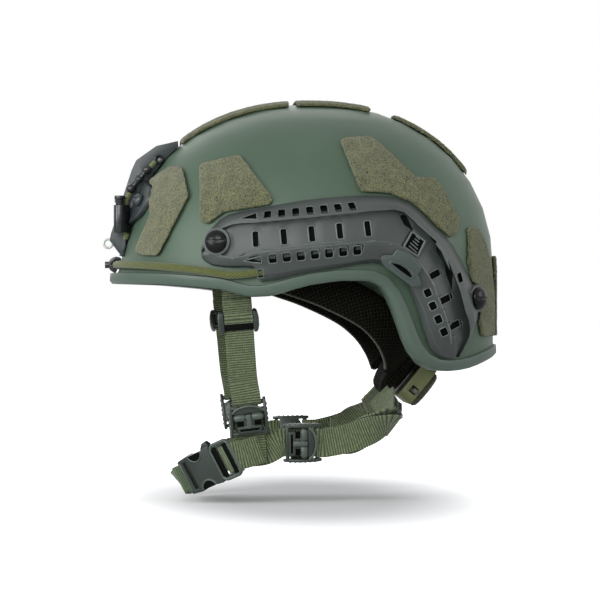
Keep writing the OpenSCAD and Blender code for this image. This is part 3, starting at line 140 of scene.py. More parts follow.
def copyNode(node, name, flat=0.6):
    piece = link(name, frame["nodes"][node].data.copy())
    piece.data.materials.clear()
    only(piece)
    bpy.ops.mesh.customdata_custom_splitnormals_clear()
    steps = [(bpy.ops.mesh.remove_doubles, {"threshold": 0.00002})]
    if flat:
        steps.append((bpy.ops.mesh.dissolve_limited, {"angle_limit": math.radians(flat)}))
    edited(piece, *steps)
    return piece


def catmull(points, steps):
    ends = [points[0], *points, points[-1]]
    out = []
    for i in range(1, len(ends) - 2):
        a, b, c, d = (Vector(p) for p in ends[i - 1:i + 3])
        for s in range(steps):
            t = s / steps
            out.append(0.5 * (2 * b + (c - a) * t + (2 * a - 5 * b + 4 * c - d) * t * t
                              + (3 * b - a - 3 * c + d) * t ** 3))
    return out + [Vector(points[-1])]


def reachOf(points):
    reach = [0]
    for a, b in zip(points, points[1:]):
        reach.append(reach[-1] + math.dist(a, b))
    return reach


def spaced(count, route, *others):
    # even steps along a route, and the same places in the lists beside it
    reach = reachOf(route)
    out, k = [], 0
    for i in range(count + 1):
        want = reach[-1] * i / count
        while k < len(reach) - 2 and reach[k + 1] < want:
            k += 1
        t = (want - reach[k]) / max(1e-9, reach[k + 1] - reach[k])
        out.append([line[k].lerp(line[k + 1], t) for line in (route, *others)])
    return out


def evenRoute(points, across, step):
    fine = catmull([[c / 1000 for c in p] for p in points], 24)
    length = reachOf(fine)[-1]
    count = max(2, round(length / step))
    rows = spaced(count, fine, catmull(across, 24))
    frames = []
    for i, (p, wide) in enumerate(rows):
        along = (rows[min(count, i + 1)][0] - rows[max(0, i - 1)][0]).normalized()
        out = along.cross(wide).normalized()
        frames.append((p, along, out.cross(along).normalized(), out))
    return frames, length


def gridPiece(name, cellsAcross, cellsAlong, place, size):
    # a grid whose corners at u and v go to place(u, v), with its UV in millimetres
    bpy.ops.mesh.primitive_grid_add(x_subdivisions=cellsAcross, y_subdivisions=cellsAlong,
                                    size=2, calc_uvs=True)
    piece = named(name)
    for vertex in piece.data.vertices:
        vertex.co = place((vertex.co.x + 1) / 2, (vertex.co.y + 1) / 2)
    for spot in piece.data.uv_layers[0].data:
        spot.uv = (spot.uv[0] * size[0] * 1000, spot.uv[1] * size[1] * 1000)
    return piece


def mirrorOf(piece, name):
    other = link(name, piece.data.copy())
    other.data.transform(Matrix.Scale(-1, 4, (1, 0, 0)))
    edited(other, (bpy.ops.mesh.flip_normals, {}))
    return other


def joined(name, parts):
    bpy.ops.object.select_all(action="DESELECT")
    for part in parts:
        part.select_set(True)
    bpy.context.view_layer.objects.active = parts[0]
    bpy.ops.object.join()
    return named(name)


def addNode(tree, kind, values=None, **settings):
    item = tree.nodes.new(kind)
    for key, value in settings.items():
        setattr(item, key, value)
    for key, value in (values or {}).items():
        if isinstance(value, bpy.types.NodeSocket):
            tree.links.new(value, item.inputs[key])
        else:
            item.inputs[key].default_value = value
    return item


def maths(tree, operation, a, b=0.0, c=0.0):
    return addNode(tree, "ShaderNodeMath", {0: a, 1: b, 2: c}, operation=operation).outputs[0]


def blendColour(tree, factor, a, b):
    return addNode(tree, "ShaderNodeMix", {0: factor, 6: a, 7: b}, data_type="RGBA").outputs[2]


def mapped(tree, value, low, high, toLow=0.0, toHigh=1.0):
    return addNode(tree, "ShaderNodeMapRange", {0: value, 1: low, 2: high, 3: toLow, 4: toHigh},
                   clamp=True).outputs[0]


def mottle(tree, scale, detail, **more):
    place = addNode(tree, "ShaderNodeTexCoord").outputs["Object"]
    values = {"Vector": place, "Scale": scale, "Detail": detail, **more}
    return addNode(tree, "ShaderNodeTexNoise", values).outputs[0]


def raised(tree, height, depth, **more):
    values = {"Strength": 1.0, "Distance": depth, "Height": height, **more}
    return addNode(tree, "ShaderNodeBump", values).outputs[0]


def wave(tree, value, pitch):
    turns = maths(tree, "DIVIDE", maths(tree, "MULTIPLY", value, 2 * math.pi), pitch)
    return maths(tree, "MULTIPLY_ADD", maths(tree, "SINE", turns), 0.5, 0.5)


def ridge(tree, value):
    return maths(tree, "ABSOLUTE", maths(tree, "SINE", value))


def uvOf(tree):
    coords = addNode(tree, "ShaderNodeTexCoord").outputs["UV"]
    return addNode(tree, "ShaderNodeSeparateXYZ", {0: coords}).outputs


def startMaterial(name):
    finish = bpy.data.materials.new(name)
    finish.use_nodes = True
    tree = finish.node_tree
    tree.nodes.clear()
    shade = addNode(tree, "ShaderNodeBsdfPrincipled")
    addNode(tree, "ShaderNodeOutputMaterial", {"Surface": shade.outputs[0]})
    return finish, tree, shade


# camera, light and floor

view = {"target": (0, -0.0035, -0.0141), "distance": 1.8, "turn": 4, "lens": 153}

turn = math.radians(view["turn"])
towards = Vector((math.cos(turn), -math.sin(turn), 0))
cameraData = bpy.data.cameras.new("camera")
camera = link("camera", cameraData)
cameraData.lens = view["lens"]
cameraData.sensor_width = 36
cameraData.clip_end = 20
camera.location = Vector(view["target"]) + towards * view["distance"]
camera.rotation_euler = (-towards).to_track_quat("-Z", "Y").to_euler()
bpy.context.scene.camera = camera
bpy.context.scene.view_settings.view_transform = "Standard"
print("camera placed")

lamps = {
    "key": {"at": (1.5, -0.6, 0.62), "size": 0.8, "power": 14},
    "front": {"at": (0.9, -1.5, 0.35), "size": 0.7, "power": 14},
    "rear": {"at": (0.5, 1.6, 0.5), "size": 0.8, "power": 7},
    "far": {"at": (-1.5, -0.2, 0.9), "size": 1.1, "power": 6},
}
for name, lamp in lamps.items():
    data = bpy.data.lights.new(name, "AREA")
    data.shape = "SQUARE"
    data.size = lamp["size"]
    data.energy = lamp["power"]
    light = link(name, data)
    light.location = lamp["at"]
    light.rotation_euler = (Vector((0, 0, -0.02)) - Vector(lamp["at"])).to_track_quat("-Z", "Y").to_euler()

world = bpy.data.worlds.new("studio")
bpy.context.scene.world = world
world.use_nodes = True
tree = world.node_tree
tree.nodes.clear()
path = addNode(tree, "ShaderNodeLightPath").outputs
seen = maths(tree, "MAXIMUM", path["Is Camera Ray"],
             maths(tree, "MAXIMUM", path["Is Glossy Ray"], path["Is Transmission Ray"]))
white = addNode(tree, "ShaderNodeBackground", {"Color": (1, 1, 1, 1), "Strength": 1.0})
soft = addNode(tree, "ShaderNodeBackground", {"Color": (0.93, 0.96, 1, 1), "Strength": 0.42})
pick = addNode(tree, "ShaderNodeMixShader", {0: seen, 1: soft.outputs[0], 2: white.outputs[0]})
addNode(tree, "ShaderNodeOutputWorld", {"Surface": pick.outputs[0]})

floorSettings = {"drop": 0.004, "size": 16, "base": 0.8, "lift": 0.95, "shadowWide": 0.15, "shadowDeep": 0.32,
                 "fade": (0.35, 1.05), "fadePower": 1.5}
bpy.ops.mesh.primitive_plane_add(size=floorSettings["size"],
                                 location=(0, 0, cadBox[0][2] - floorSettings["drop"]))
floor = bpy.context.object
floor.name = "floor"
floorFinish, tree, shade = startMaterial("paleFloor")
# the floor is lifted to white for the camera, apart from the oval round the shadow
oval = addNode(tree, "ShaderNodeVectorMath", {
    0: addNode(tree, "ShaderNodeTexCoord").outputs["Object"],
    1: (1 / floorSettings["shadowDeep"], 1 / floorSettings["shadowWide"], 0)},
               operation="MULTIPLY").outputs[0]
away = addNode(tree, "ShaderNodeVectorMath", {0: oval}, operation="LENGTH").outputs["Value"]
rise = maths(tree, "POWER", mapped(tree, away, *floorSettings["fade"]), floorSettings["fadePower"])
cameraOnly = maths(tree, "MULTIPLY", rise, addNode(tree, "ShaderNodeLightPath").outputs["Is Camera Ray"])
tree.links.new(maths(tree, "MULTIPLY", cameraOnly, floorSettings["lift"]), shade.inputs["Emission Strength"])
shade.inputs["Emission Color"].default_value = (1, 1, 1, 1)
shade.inputs["Base Color"].default_value = (floorSettings["base"],) * 3 + (1,)
shade.inputs["Roughness"].default_value = 0.9
shade.inputs["Specular IOR Level"].default_value = 0
floor.data.materials.append(floorFinish)
print("studio ready")


# shader groups

def newGroup(name, inputs, outputs):
    # an input without a value is a colour, or the normal
    group = bpy.data.node_groups.new(name, "ShaderNodeTree")
    kinds = {"Colour": "Color", "Dark": "Color", "Light": "Color", "Thread": "Color", "Hole": "Color",
             "Normal": "Vector"}
    for way, labels in (("INPUT", inputs), ("OUTPUT", outputs)):
        for label in labels:
            socket = group.interface.new_socket(name=label, in_out=way,
                                                socket_type="NodeSocket" + kinds.get(label, "Float"))
            if way == "INPUT" and inputs[label] is not None:
                socket.default_value = inputs[label]
    given, out = group.nodes.new("NodeGroupInput").outputs, group.nodes.new("NodeGroupOutput")

    def send(**values):
        for label, value in values.items():
            group.links.new(value, out.inputs[label])
        return group
    return group, given, send


def softEdgeHighlightGroup():
    # a rounded normal near edges, and a mask for a painted highlight line along the edges, broken up by noise
    group, given, send = newGroup("softEdgeHighlight", {"Radius": 0.0005}, ["Mask", "Normal"])
    rounded = addNode(group, "ShaderNodeBevel", {"Radius": given["Radius"]}, samples=4).outputs[0]
    plain = addNode(group, "ShaderNodeNewGeometry").outputs["Normal"]
    dot = addNode(group, "ShaderNodeVectorMath", {0: rounded, 1: plain}, operation="DOT_PRODUCT").outputs[1]
    edge = mapped(group, dot, 0.995, 0.8)
    broken = mapped(group, mottle(group, 160.0, 3.0), 0.3, 0.62, 0.35, 1.0)
    return send(Mask=maths(group, "MULTIPLY", edge, broken), Normal=rounded)


def grainGroup():
    # fine moulded or sprayed grain, with a slow drift of tone
    group, given, send = newGroup("fineGrain", {"Dark": None, "Light": None, "Scale": 900.0, "Drift": 18.0,
                                                "Depth": 0.00006, "Smooth": 0.45, "Normal": None},
                                  ["Colour", "Roughness", "Normal"])
    fine = mottle(group, given["Scale"], 2.0)
    slow = mottle(group, given["Drift"], 4.0)
    tone = maths(group, "MULTIPLY_ADD", mapped(group, fine, 0.3, 0.7), 0.35,
                 maths(group, "MULTIPLY", mapped(group, slow, 0.3, 0.7), 0.65))
    rough = maths(group, "MULTIPLY_ADD", fine, 0.16, maths(group, "SUBTRACT", given["Smooth"], 0.08))
    return send(Colour=blendColour(group, tone, given["Dark"], given["Light"]), Roughness=rough,
                Normal=raised(group, fine, given["Depth"], Normal=given["Normal"]))


def weaveGroup():
    # ribs across a webbing and warp threads along it, on its UV in millimetres
    group, given, send = newGroup("webWeave", {"Dark": None, "Light": None, "Rib": 1.7, "Warp": 1.2,
                                               "Depth": 0.00035}, ["Colour", "Roughness", "Normal"])
    uv = uvOf(group)
    stir = mottle(group, 420.0, 3.0)
    rib = wave(group, maths(group, "MULTIPLY_ADD", stir, 0.5, uv[1]), given["Rib"])
    warp = wave(group, uv[0], given["Warp"])
    height = maths(group, "MULTIPLY", maths(group, "POWER", rib, 0.6),
                   maths(group, "MULTIPLY_ADD", warp, 0.35, 0.65))
    # painted shade: the colour follows the weave's height, darker in the grooves between ribs, times a random
    # tone
    tone = maths(group, "MULTIPLY", height, mapped(group, stir, 0.3, 0.7, 0.55, 1.0))
    return send(Colour=blendColour(group, tone, given["Dark"], given["Light"]),
                Roughness=mapped(group, height, 0.0, 1.0, 0.85, 0.62),
                Normal=raised(group, height, given["Depth"]))


def pileGroup():
    # curled loops of a hook-and-loop panel: the colour follows the loops' height, with painted highlight on
    # the tips and painted shade at the roots, in clumps of random tone
    group, given, send = newGroup("loopPile", {"Dark": None, "Light": None, "Scale": 620.0, "Depth": 0.0006},
                                  ["Colour", "Normal"])
    wavy = mottle(group, given["Scale"], 3.0, Roughness=0.65, Distortion=0.8)
    clumps = mottle(group, 150.0, 2.0)
    tips = mapped(group, wavy, 0.36, 0.66)
    tone = maths(group, "MULTIPLY", tips, mapped(group, clumps, 0.25, 0.75, 0.6, 1.1))
    return send(Colour=blendColour(group, tone, given["Dark"], given["Light"]),
                Normal=raised(group, tips, given["Depth"]))


def airMeshGroup():
    # knitted spacer mesh: a diamond lattice of threads round open cells, on the UV in millimetres
    group, given, send = newGroup("airMesh", {"Thread": None, "Hole": None, "Pitch": 3.4, "Depth": 0.0006},
                                  ["Colour", "Roughness", "Normal"])
    uv = uvOf(group)
    turns = maths(group, "DIVIDE", math.pi, given["Pitch"])
    plus, less = (ridge(group, maths(group, "MULTIPLY", maths(group, way, uv[0], uv[1]), turns))
                  for way in ("ADD", "SUBTRACT"))
    thread = mapped(group, maths(group, "MULTIPLY", plus, less), 0.5, 0.22)
    stir = mottle(group, 900.0, 3.0)
    tone = maths(group, "MULTIPLY", thread, mapped(group, stir, 0.35, 0.7, 0.25, 1.0))
    # painted shade: the open cells take the near-black hole colour, the threads their own colour in a random
    # tone
    return send(Colour=blendColour(group, tone, given["Hole"], given["Thread"]),
                Roughness=mapped(group, stir, 0.3, 0.7, 0.95, 0.7),
                Normal=raised(group, maths(group, "MULTIPLY_ADD", stir, 0.3, thread), given["Depth"]))


def braidGroup():
    # braided sheath of a cord, on the UV in millimetres: round it in x, along it in y
    group, given, send = newGroup("braid", {"Dark": None, "Light": None, "Round": 2.0, "Along": 2.6,
                                            "Depth": 0.0003}, ["Colour", "Normal"])
    uv = uvOf(group)
    u, v = (maths(group, "DIVIDE", maths(group, "MULTIPLY", uv[i], math.pi), given[label])
            for i, label in ((0, "Round"), (1, "Along")))
    height = maths(group, "MAXIMUM", ridge(group, maths(group, "ADD", u, v)),
                   ridge(group, maths(group, "SUBTRACT", u, v)))
    # painted shade: darker in the grooves between the strands, times a random tone
    tone = maths(group, "MULTIPLY", mapped(group, height, 0.6, 1.0),
                 mapped(group, mottle(group, 700.0, 2.0), 0.3, 0.7, 0.5, 1.0))
    return send(Colour=blendColour(group, tone, given["Dark"], given["Light"]),
                Normal=raised(group, height, given["Depth"]))


groups = {"edge": softEdgeHighlightGroup(), "grain": grainGroup(), "weave": weaveGroup(), "pile": pileGroup(),
          "mesh": airMeshGroup(), "braid": braidGroup()}


# materials

def moulded(name, dark, light, edge, smooth=0.45, grain=900.0, depth=0.00006, radius=0.0005, wear=0.6,
            drift=18.0, **sockets):
    finish, tree, shade = startMaterial(name)
    soft = addNode(tree, "ShaderNodeGroup", {"Radius": radius}, node_tree=groups["edge"]).outputs
    skin = addNode(tree, "ShaderNodeGroup", {
        "Dark": colour(dark), "Light": colour(light), "Scale": grain, "Drift": drift, "Depth": depth,
        "Smooth": smooth, "Normal": soft["Normal"]}, node_tree=groups["grain"]).outputs
    # painted highlight: the paler edge colour is mixed in along the edges, by the edge mask times the wear
    # value
    paintedEdgeHighlight = blendColour(tree, maths(tree, "MULTIPLY", soft["Mask"], wear), skin["Colour"], colour(edge))
    for label, value in (("Base Color", paintedEdgeHighlight), ("Roughness", skin["Roughness"]), ("Normal", skin["Normal"])):
        tree.links.new(value, shade.inputs[label])
    for label, value in sockets.items():
        shade.inputs[label.replace("_", " ")].default_value = value
    return finish


def woven(name, group, roughness=None, sheen=0.25, specular=0.25, **values):
    finish, tree, shade = startMaterial(name)
    values = {label: colour(value) if isinstance(value, str) else value for label, value in values.items()}
    cloth = addNode(tree, "ShaderNodeGroup", values, node_tree=groups[group]).outputs
    for label in ("Colour", "Roughness", "Normal"):
        if label in cloth:
            tree.links.new(cloth[label], shade.inputs[{"Colour": "Base Color"}.get(label, label)])
    if roughness is not None:
        shade.inputs["Roughness"].default_value = roughness
    for label, value in (("Sheen Weight", sheen), ("Sheen Roughness", 0.5), ("Specular IOR Level", specular)):
        shade.inputs[label].default_value = value
    return finish


# each moulded finish: its dark and light grain tones, then the paler edge colour of its painted edge
# highlight
finishes = {
    "shell": moulded("shellPaint", "415343", "4d6050", "657767", smooth=0.42, grain=1500.0, depth=0.00012,
                     radius=0.0008, wear=0.3, drift=14.0, Specular_IOR_Level=0.3),
    "trim": moulded("trimRubber", "3f4f45", "4b5c51", "5f7066", smooth=0.38, grain=1800.0, depth=0.00003,
                    wear=0.2),
    "rail": moulded("railPolymer", "303634", "3d4341", "828b86", smooth=0.46, grain=2200.0, depth=0.00005,
                    radius=0.0009, wear=0.8),
    # a paler copy of the rail's colour: painted highlight on rims, ribs and ledge lines
    "railEdge": moulded("railEdge", "565e5b", "666e6a", "8a928e", depth=0.00003, wear=0.4),
    # near-black painted shade for the insides of pockets, slots, gaps and windows
    "paintedShadeRecess": moulded("paintedShadeBlack", "050606", "0a0c0b", "101312", smooth=0.8, wear=0.1,
                      Specular_IOR_Level=0.08),
    "latch": moulded("latchPolymer", "414947", "4f5754", "8f9893", smooth=0.44, grain=2200.0, depth=0.00005),
    "clip": moulded("clipPolymer", "2f3a36", "3b4743", "75807b", smooth=0.36, grain=2200.0, depth=0.00004,
                    wear=0.5),
    "bolt": moulded("blackSteel", "050607", "0a0b0c", "232628", smooth=0.24, grain=2600.0, depth=0.00001,
                    wear=0.3, Specular_IOR_Level=0.2),
    "nut": moulded("darkNut", "1c2022", "272b2d", "50565a", smooth=0.35, Metallic=0.4),
    "shroud": moulded("shroudPolymer", "22292a", "2f3738", "67706f", smooth=0.42, depth=0.00005),
    "insert": moulded("insertSteel", "15181a", "212527", "5b6264", smooth=0.38, Metallic=0.5),
    "screw": moulded("screwSteel", "30383a", "454e50", "8d9698", smooth=0.3, Metallic=0.6),
    "gloss": moulded("glossBlack", "0e1011", "181b1d", "4a4f52", smooth=0.24, depth=0.00002, wear=0.5),
    "buckle": moulded("bucklePolymer", "222a25", "2e3731", "7d897f", smooth=0.38, grain=2200.0,
                      depth=0.00003),
    # a paler copy of the buckle's colour: painted highlight on barrels, stems, beads and rims
    "buckleEdge": moulded("buckleEdge", "3d4740", "4c574f", "8a968c", smooth=0.36, depth=0.00002, wear=0.4),
    "housing": moulded("housingPolymer", "565c36", "666c42", "969c6e", depth=0.00005, wear=0.5),
    "dial": moulded("dialPolymer", "303419", "3e4226", "787d55", smooth=0.42, depth=0.00004),
    "gear": moulded("gearPolymer", "33372e", "42463c", "6e7367", smooth=0.4),
    "web": woven("webbing", "weave", Dark="293220", Light="7f8b65", Depth=0.0005),
    "webChin": woven("chinWebbing", "weave", Dark="2c3827", Light="677a55", Rib=1.2, Warp=1.0, Depth=0.0002),
    "loop": woven("loopFabric", "pile", roughness=0.92, sheen=0.35, Dark="2a2d17", Light="8e915b",
                  Scale=1100.0),
    "mesh": woven("airMeshFabric", "mesh", sheen=0, specular=0.06, Thread="202117", Hole="030402"),
    "pad": woven("padFabric", "mesh", Thread="1d1f20", Hole="0b0c0d", Pitch=1.4, Depth=0.0002),
    "bungee": woven("bungeeSheath", "braid", roughness=0.75, Dark="262b12", Light="6c743c"),
    "cord": woven("lanyardSheath", "braid", roughness=0.75, Dark="3a4226", Light="848b5c", Round=1.4,
                  Along=1.8, Depth=0.0002),
    "piping": woven("pipingFabric", "weave", Dark="1d2118", Light="3c4130", Rib=0.9, Warp=0.9, Depth=0.00012),
}

clearLoop, tree, shade = startMaterial("clearLoop")
cloud = mottle(tree, 220.0, 3.0)
tree.links.new(blendColour(tree, cloud, colour("a9aea6"), colour("dfe2dc")), shade.inputs["Base Color"])
tree.links.new(mapped(tree, cloud, 0.3, 0.7, 0.15, 0.35), shade.inputs["Roughness"])
shade.inputs["Subsurface Weight"].default_value = 0.3
shade.inputs["Subsurface Scale"].default_value = 0.002
finishes["clear"] = clearLoop
print("materials ready:", len(finishes))


# moulded and metal pieces, from the solids with their edges rounded

def roundEdges(piece, width, segments=2):
    modify(piece, "round", "BEVEL", limit_method="ANGLE", angle_limit=math.radians(32), width=width,
           segments=segments, use_clamp_overlap=True)
    applyModifiers(piece)


hardPieces = {
    "shell": {"finish": "shell", "flat": 0, "angle": 40},
    "edge_trim": {"finish": "trim", "flat": 0, "angle": 50},
    "rail_bolts": {"finish": "bolt", "round": 0.0002},
    "rail_nuts": {"finish": "nut", "round": 0.0002},
    "shroud_base": {"finish": "shroud", "round": 0.0003},
    "shroud_insert": {"finish": "insert", "round": 0.0002},
    "shroud_screws": {"finish": "screw", "round": 0.0002},
    "tether_loop": {"finish": "clear", "angle": 60},
    "bungee_retainer": {"finish": "gloss", "round": 0.0003},
    "lanyard_hooks": {"finish": "gloss", "round": 0.0002},
    "cord_locks": {"finish": "gloss", "round": 0.0003},
    "lock_button_left": {"finish": "gloss", "round": 0.0002},
    "lock_button_right": {"finish": "gloss", "round": 0.0002},
    "dial_housing": {"finish": "housing", "round": 0.0006},
    "dial_knob": {"finish": "dial", "round": 0.0002},
    "dial_pinion": {"finish": "gear", "round": 0.0001},
    "dial_rack_left": {"finish": "gear", "round": 0.0001},
    "dial_rack_right": {"finish": "gear", "round": 0.0001},
    "adjuster_pins": {"finish": "bolt", "round": 0.0001},
    "nape_rings": {"finish": "buckle", "round": 0.0003},
}


def camel(node):
    words = node.split("_")
    return words[0] + "".join(w.capitalize() for w in words[1:])


for node, how in hardPieces.items():
    piece = copyNode(node, camel(node), how.get("flat", 0.6))
    if "round" in how:
        roundEdges(piece, how["round"])
    smoothShade(piece, how.get("angle", 35))
    settle(piece, bodyOf[node], how["finish"], node)
print("moulded pieces ready:", len(hardPieces))


def layTube(name, points, radius, cells=14, step=0.0012, beads=0.0, beadPitch=0.003):
    frames, length = evenRoute(points, [[0, 0.02, 1]] * len(points), step)

    def place(u, v):
        p, along, wide, out = frames[round(v * (len(frames) - 1))]
        r = radius / 1000 + beads * abs(math.sin(math.pi * v * length / beadPitch))
        turned = 2 * math.pi * u
        return p + (wide * math.cos(turned) + out * math.sin(turned)) * r
    piece = gridPiece(name, cells, len(frames) - 1, place, (2 * math.pi * radius / 1000, length))
    closeTube(piece)
    return piece


def closeTube(piece):
    edited(piece, (bpy.ops.mesh.remove_doubles, {"threshold": 0.00001}),
           (bpy.ops.mesh.fill_holes, {"sides": 0}), (bpy.ops.mesh.normals_make_consistent, {"inside": False}))
    smoothShade(piece, 60)


# fittings placed by what the camera sees: a spot is a pixel of the photograph's frame
focal = view["lens"] / cameraData.sensor_width * 600


def rayAt(spot):
    across = Vector((math.sin(turn), math.cos(turn), 0))
    return (across * (spot[0] - 300) + Vector((0, 0, 300 - spot[1])) - towards * focal).normalized()


def treeOf(*nodes):
    points, faces = [], []
    for node in nodes:
        mesh = frame["nodes"][node].data
        first = len(points)
        points += [v.co.copy() for v in mesh.vertices]
        faces += [[first + i for i in p.vertices] for p in mesh.polygons]
    return BVHTree.FromPolygons(points, faces)


def touch(tree, spot):
    return tree.ray_cast(camera.location, rayAt(spot))[0]


def onPlane(spot, middle, out):
    ray = rayAt(spot)
    return camera.location + ray * ((middle - camera.location).dot(out) / ray.dot(out))


def seat(tree, spot, size, tilt=0.0, reach=1.25, plane=None):
    # the surface's plane round a spot as a matrix, and the true size of what shows there
    right = Vector((math.cos(math.radians(tilt)), math.sin(math.radians(tilt))))
    down = Vector((-right.y, right.x))
    spots = [Vector(spot) + (right * size[0] * a + down * size[1] * b) * reach / 2
             for a, b in ((-1, -1), (1, -1), (1, 1), (-1, 1))]
    if plane:
        first, second, third = (touch(tree, s) for s in plane)
        a, b, c, d = (onPlane(s, first, (second - first).cross(third - first).normalized()) for s in spots)
    else:
        a, b, c, d = (touch(tree, s) for s in spots)
    along, rise = (b + c - a - d) / 2, (a + b - c - d) / 2
    out = along.cross(rise).normalized()
    axes = Matrix((along.normalized(), out.cross(along).normalized(), out)).transposed().to_4x4()
    axes.translation = (a + b + c + d) / 4
    return axes, (along.length / reach, rise.length / reach)


up = Vector((0, 0, 1))


def ringPiece(name, points, out, bar, rise, finish, segments=40):
    # a rounded bead round a closed outline that runs counter-clockwise about out
    bpy.ops.mesh.primitive_torus_add(major_radius=1, minor_radius=0.25, major_segments=segments,
                                     minor_segments=8, location=(0, 0, 0))
    piece = named(name)
    spots = [row[0] for row in spaced(segments, list(points) + [points[0]])]
    for vertex in piece.data.vertices:
        x, y, z = vertex.co
        i = round(math.atan2(y, x) / (2 * math.pi) * segments) % segments
        a = math.atan2(z, math.hypot(x, y) - 1)
        side = (spots[(i + 1) % segments] - spots[(i - 1) % segments]).cross(out).normalized()
        vertex.co = spots[i] + side * math.cos(a) * bar / 2 + out * math.sin(a) * rise
    smoothShade(piece, 60)
    return wear(piece, finish)


def roundedBox(wide, high, corner=0.25, steps=4):
    r = corner * min(wide, high)
    return [Vector((sx * (wide / 2 - r) + r * math.cos(a), sy * (high / 2 - r) + r * math.sin(a), 0))
            for sx, sy, turned in ((1, 1, 0), (-1, 1, 90), (-1, -1, 180), (1, -1, 270))
            for a in (math.radians(turned + 90 * i / steps) for i in range(steps + 1))]


def outlinePiece(name, outline, out, low, high, finish):
    # a plate or a cutter on a closed outline, from low to high along out
    bpy.ops.mesh.primitive_circle_add(vertices=len(outline), fill_type="NGON", location=(0, 0, 0))
    piece = named(name)
    for vertex, place in zip(piece.data.vertices, outline):
        vertex.co = place + out * high
    edited(piece, (bpy.ops.mesh.extrude_region_move,
                   {"TRANSFORM_OT_translate": {"value": tuple(out * (low - high))}}),
           (bpy.ops.mesh.normals_make_consistent, {"inside": False}))
    return wear(piece, finish)


def stamp(template, axes):
    piece = link(template.name, template.data.copy())
    piece.data.transform(axes)
    return piece


def cut(piece, cutters):
    tool = joined("cutter", cutters)
    modify(piece, "carve", "BOOLEAN", operation="DIFFERENCE", solver="EXACT", material_mode="TRANSFER",
           object=tool)
    applyModifiers(piece)
    bpy.data.objects.remove(tool)


def spread(first, last, count):
    return [tuple(a + (b - a) * i / (count - 1) for a, b in zip(first, last)) for i in range(count)]


railLook = {
    "pockets": [
        {"spots": spread((267.6, 215.1), (352.2, 206.7), 7), "size": (7.3, 8.6), "tilt": -5.6,
         "depth": 0.0024},
        {"spots": spread((272.7, 258.6), (357.3, 250.4), 7), "size": (8.2, 9), "tilt": -5.6, "depth": 0.0024},
        {"spots": [(427.8, 292.9), (432.9, 305.9), (438.4, 319.4), (444.1, 332)], "size": (7.3, 8.2),
         "tilt": -24, "depth": 0.0022},
        {"spots": [(459.8, 277.6)], "size": (4.9, 9), "tilt": -24, "depth": 0.002},
        {"spots": [(260.5, 273.6)], "size": (6, 8.5), "tilt": -5, "depth": 0.003,
         "plane": [(264, 270), (268, 277), (276, 268)]}],
    "slots": [
        {"spots": [(255.7, 239.2), (283.9, 236.7), (311.8, 233.9), (339.8, 231), (367.8, 228.6)],
         "size": (6.2, 15.1), "tilt": -5},
        {"spots": [(434.9, 274.3), (445.1, 299.4), (454.7, 324.9)], "size": (10.6, 6.6), "tilt": -27,
         "plane": [(438, 286), (451, 311), (447, 285)]}],
    "notches": [[(239, 218.8), (257.3, 219.2), (256.3, 212.7)],
                [(243.5, 261.2), (261.8, 263.3), (260.4, 256.1)]],
    "recesses": [
        {"outline": [(400, 216), (404, 224.5), (426, 240), (429, 245), (434.5, 246), (437, 241.5),
                     (406, 215.5), (403.5, 214)], "floor": (404, 228), "depth": 0.002},
        {"outline": [(436.3, 243.6), (435.4, 250.4), (443.1, 263.4), (447.5, 278.8), (454.3, 296),
                     (459.5, 309),
                     (464.7, 319.3), (469.8, 327.9), (460.4, 291.8), (452.6, 272), (444, 251.3)],
         "floor": (449, 290), "depth": 0.0016}],
    "lines": [[(232, 259), (246, 252.5), (261, 249.3), (284, 248), (310, 244.2), (335, 242.5), (373, 241),
               (391, 244.4)],
              [(416.9, 260.3), (425.9, 272), (432, 281.4), (438.8, 298.6), (444.9, 313.3), (450, 330.5),
               (451.3, 344.2)]],
    "round": 0.0004, "slotDepth": 0.0013, "notchDepth": 0.0015, "punchReach": 0.003, "recessReach": 0.008,
    "rim": 0.00062, "rimRise": 0.0002, "rimGrow": 1.06, "line": 0.26,
    "paintedShadeBacking": {"low": -0.0021, "high": -0.0016, "grow": 1.12}}

railTree = treeOf("rail_left")
rail = copyNode("rail_left", "railLeft")
roundEdges(rail, railLook["round"])
wear(rail, "rail")
punches, rims = [], []
for row in railLook["pockets"] + railLook["slots"]:
    seats = [seat(railTree, spot, row["size"], row["tilt"], plane=row.get("plane")) for spot in row["spots"]]
    wide, high = seats[len(seats) // 2][1]
    depth = row.get("depth", railLook["slotDepth"])
    shape = roundedBox(wide, high)
    # the punch's walls carry painted shade: each pocket and slot is near-black inside
    punch = outlinePiece("punch", shape, up, -depth, railLook["punchReach"], "paintedShadeRecess")
    # a raised frame in the paler rail colour: painted highlight round each pocket and slot
    rim = ringPiece("rim", [p * railLook["rimGrow"] for p in shape], up, railLook["rim"], railLook["rimRise"],
                    "railEdge")
    for axes, _ in seats:
        out = axes.col[2].to_3d()
        lean = (out + towards).normalized() if "depth" in row else out
        slant = axes @ Matrix.Shear("XY", 4, (lean.dot(axes.col[0].to_3d()) / lean.dot(out),
                                              lean.dot(axes.col[1].to_3d()) / lean.dot(out)))
        punches.append(stamp(punch, slant))
        rims.append(stamp(rim, axes))
    if "depth" not in row:
        # a near-black plate behind each slot: painted shade
        how = railLook["paintedShadeBacking"]
        plug = outlinePiece("paintedShadeBacking", [p * how["grow"] for p in shape], up, how["low"], how["high"],
                            "paintedShadeRecess")
        rims += [stamp(plug, axes) for axes, _ in seats]
        bpy.data.objects.remove(plug)
    bpy.data.objects.remove(punch)
    bpy.data.objects.remove(rim)
for outline in railLook["notches"]:
    places = [touch(railTree, spot) for spot in outline]
    out = (places[1] - places[0]).cross(places[2] - places[0]).normalized()
    # each notch is cut with near-black walls, which are painted shade, and framed by a painted highlight rim
    punches.append(outlinePiece("notch", places, out, -railLook["notchDepth"], railLook["punchReach"],
                                "paintedShadeRecess"))
    rims.append(ringPiece("notchRim", places, out, railLook["rim"], railLook["rimRise"], "railEdge"))
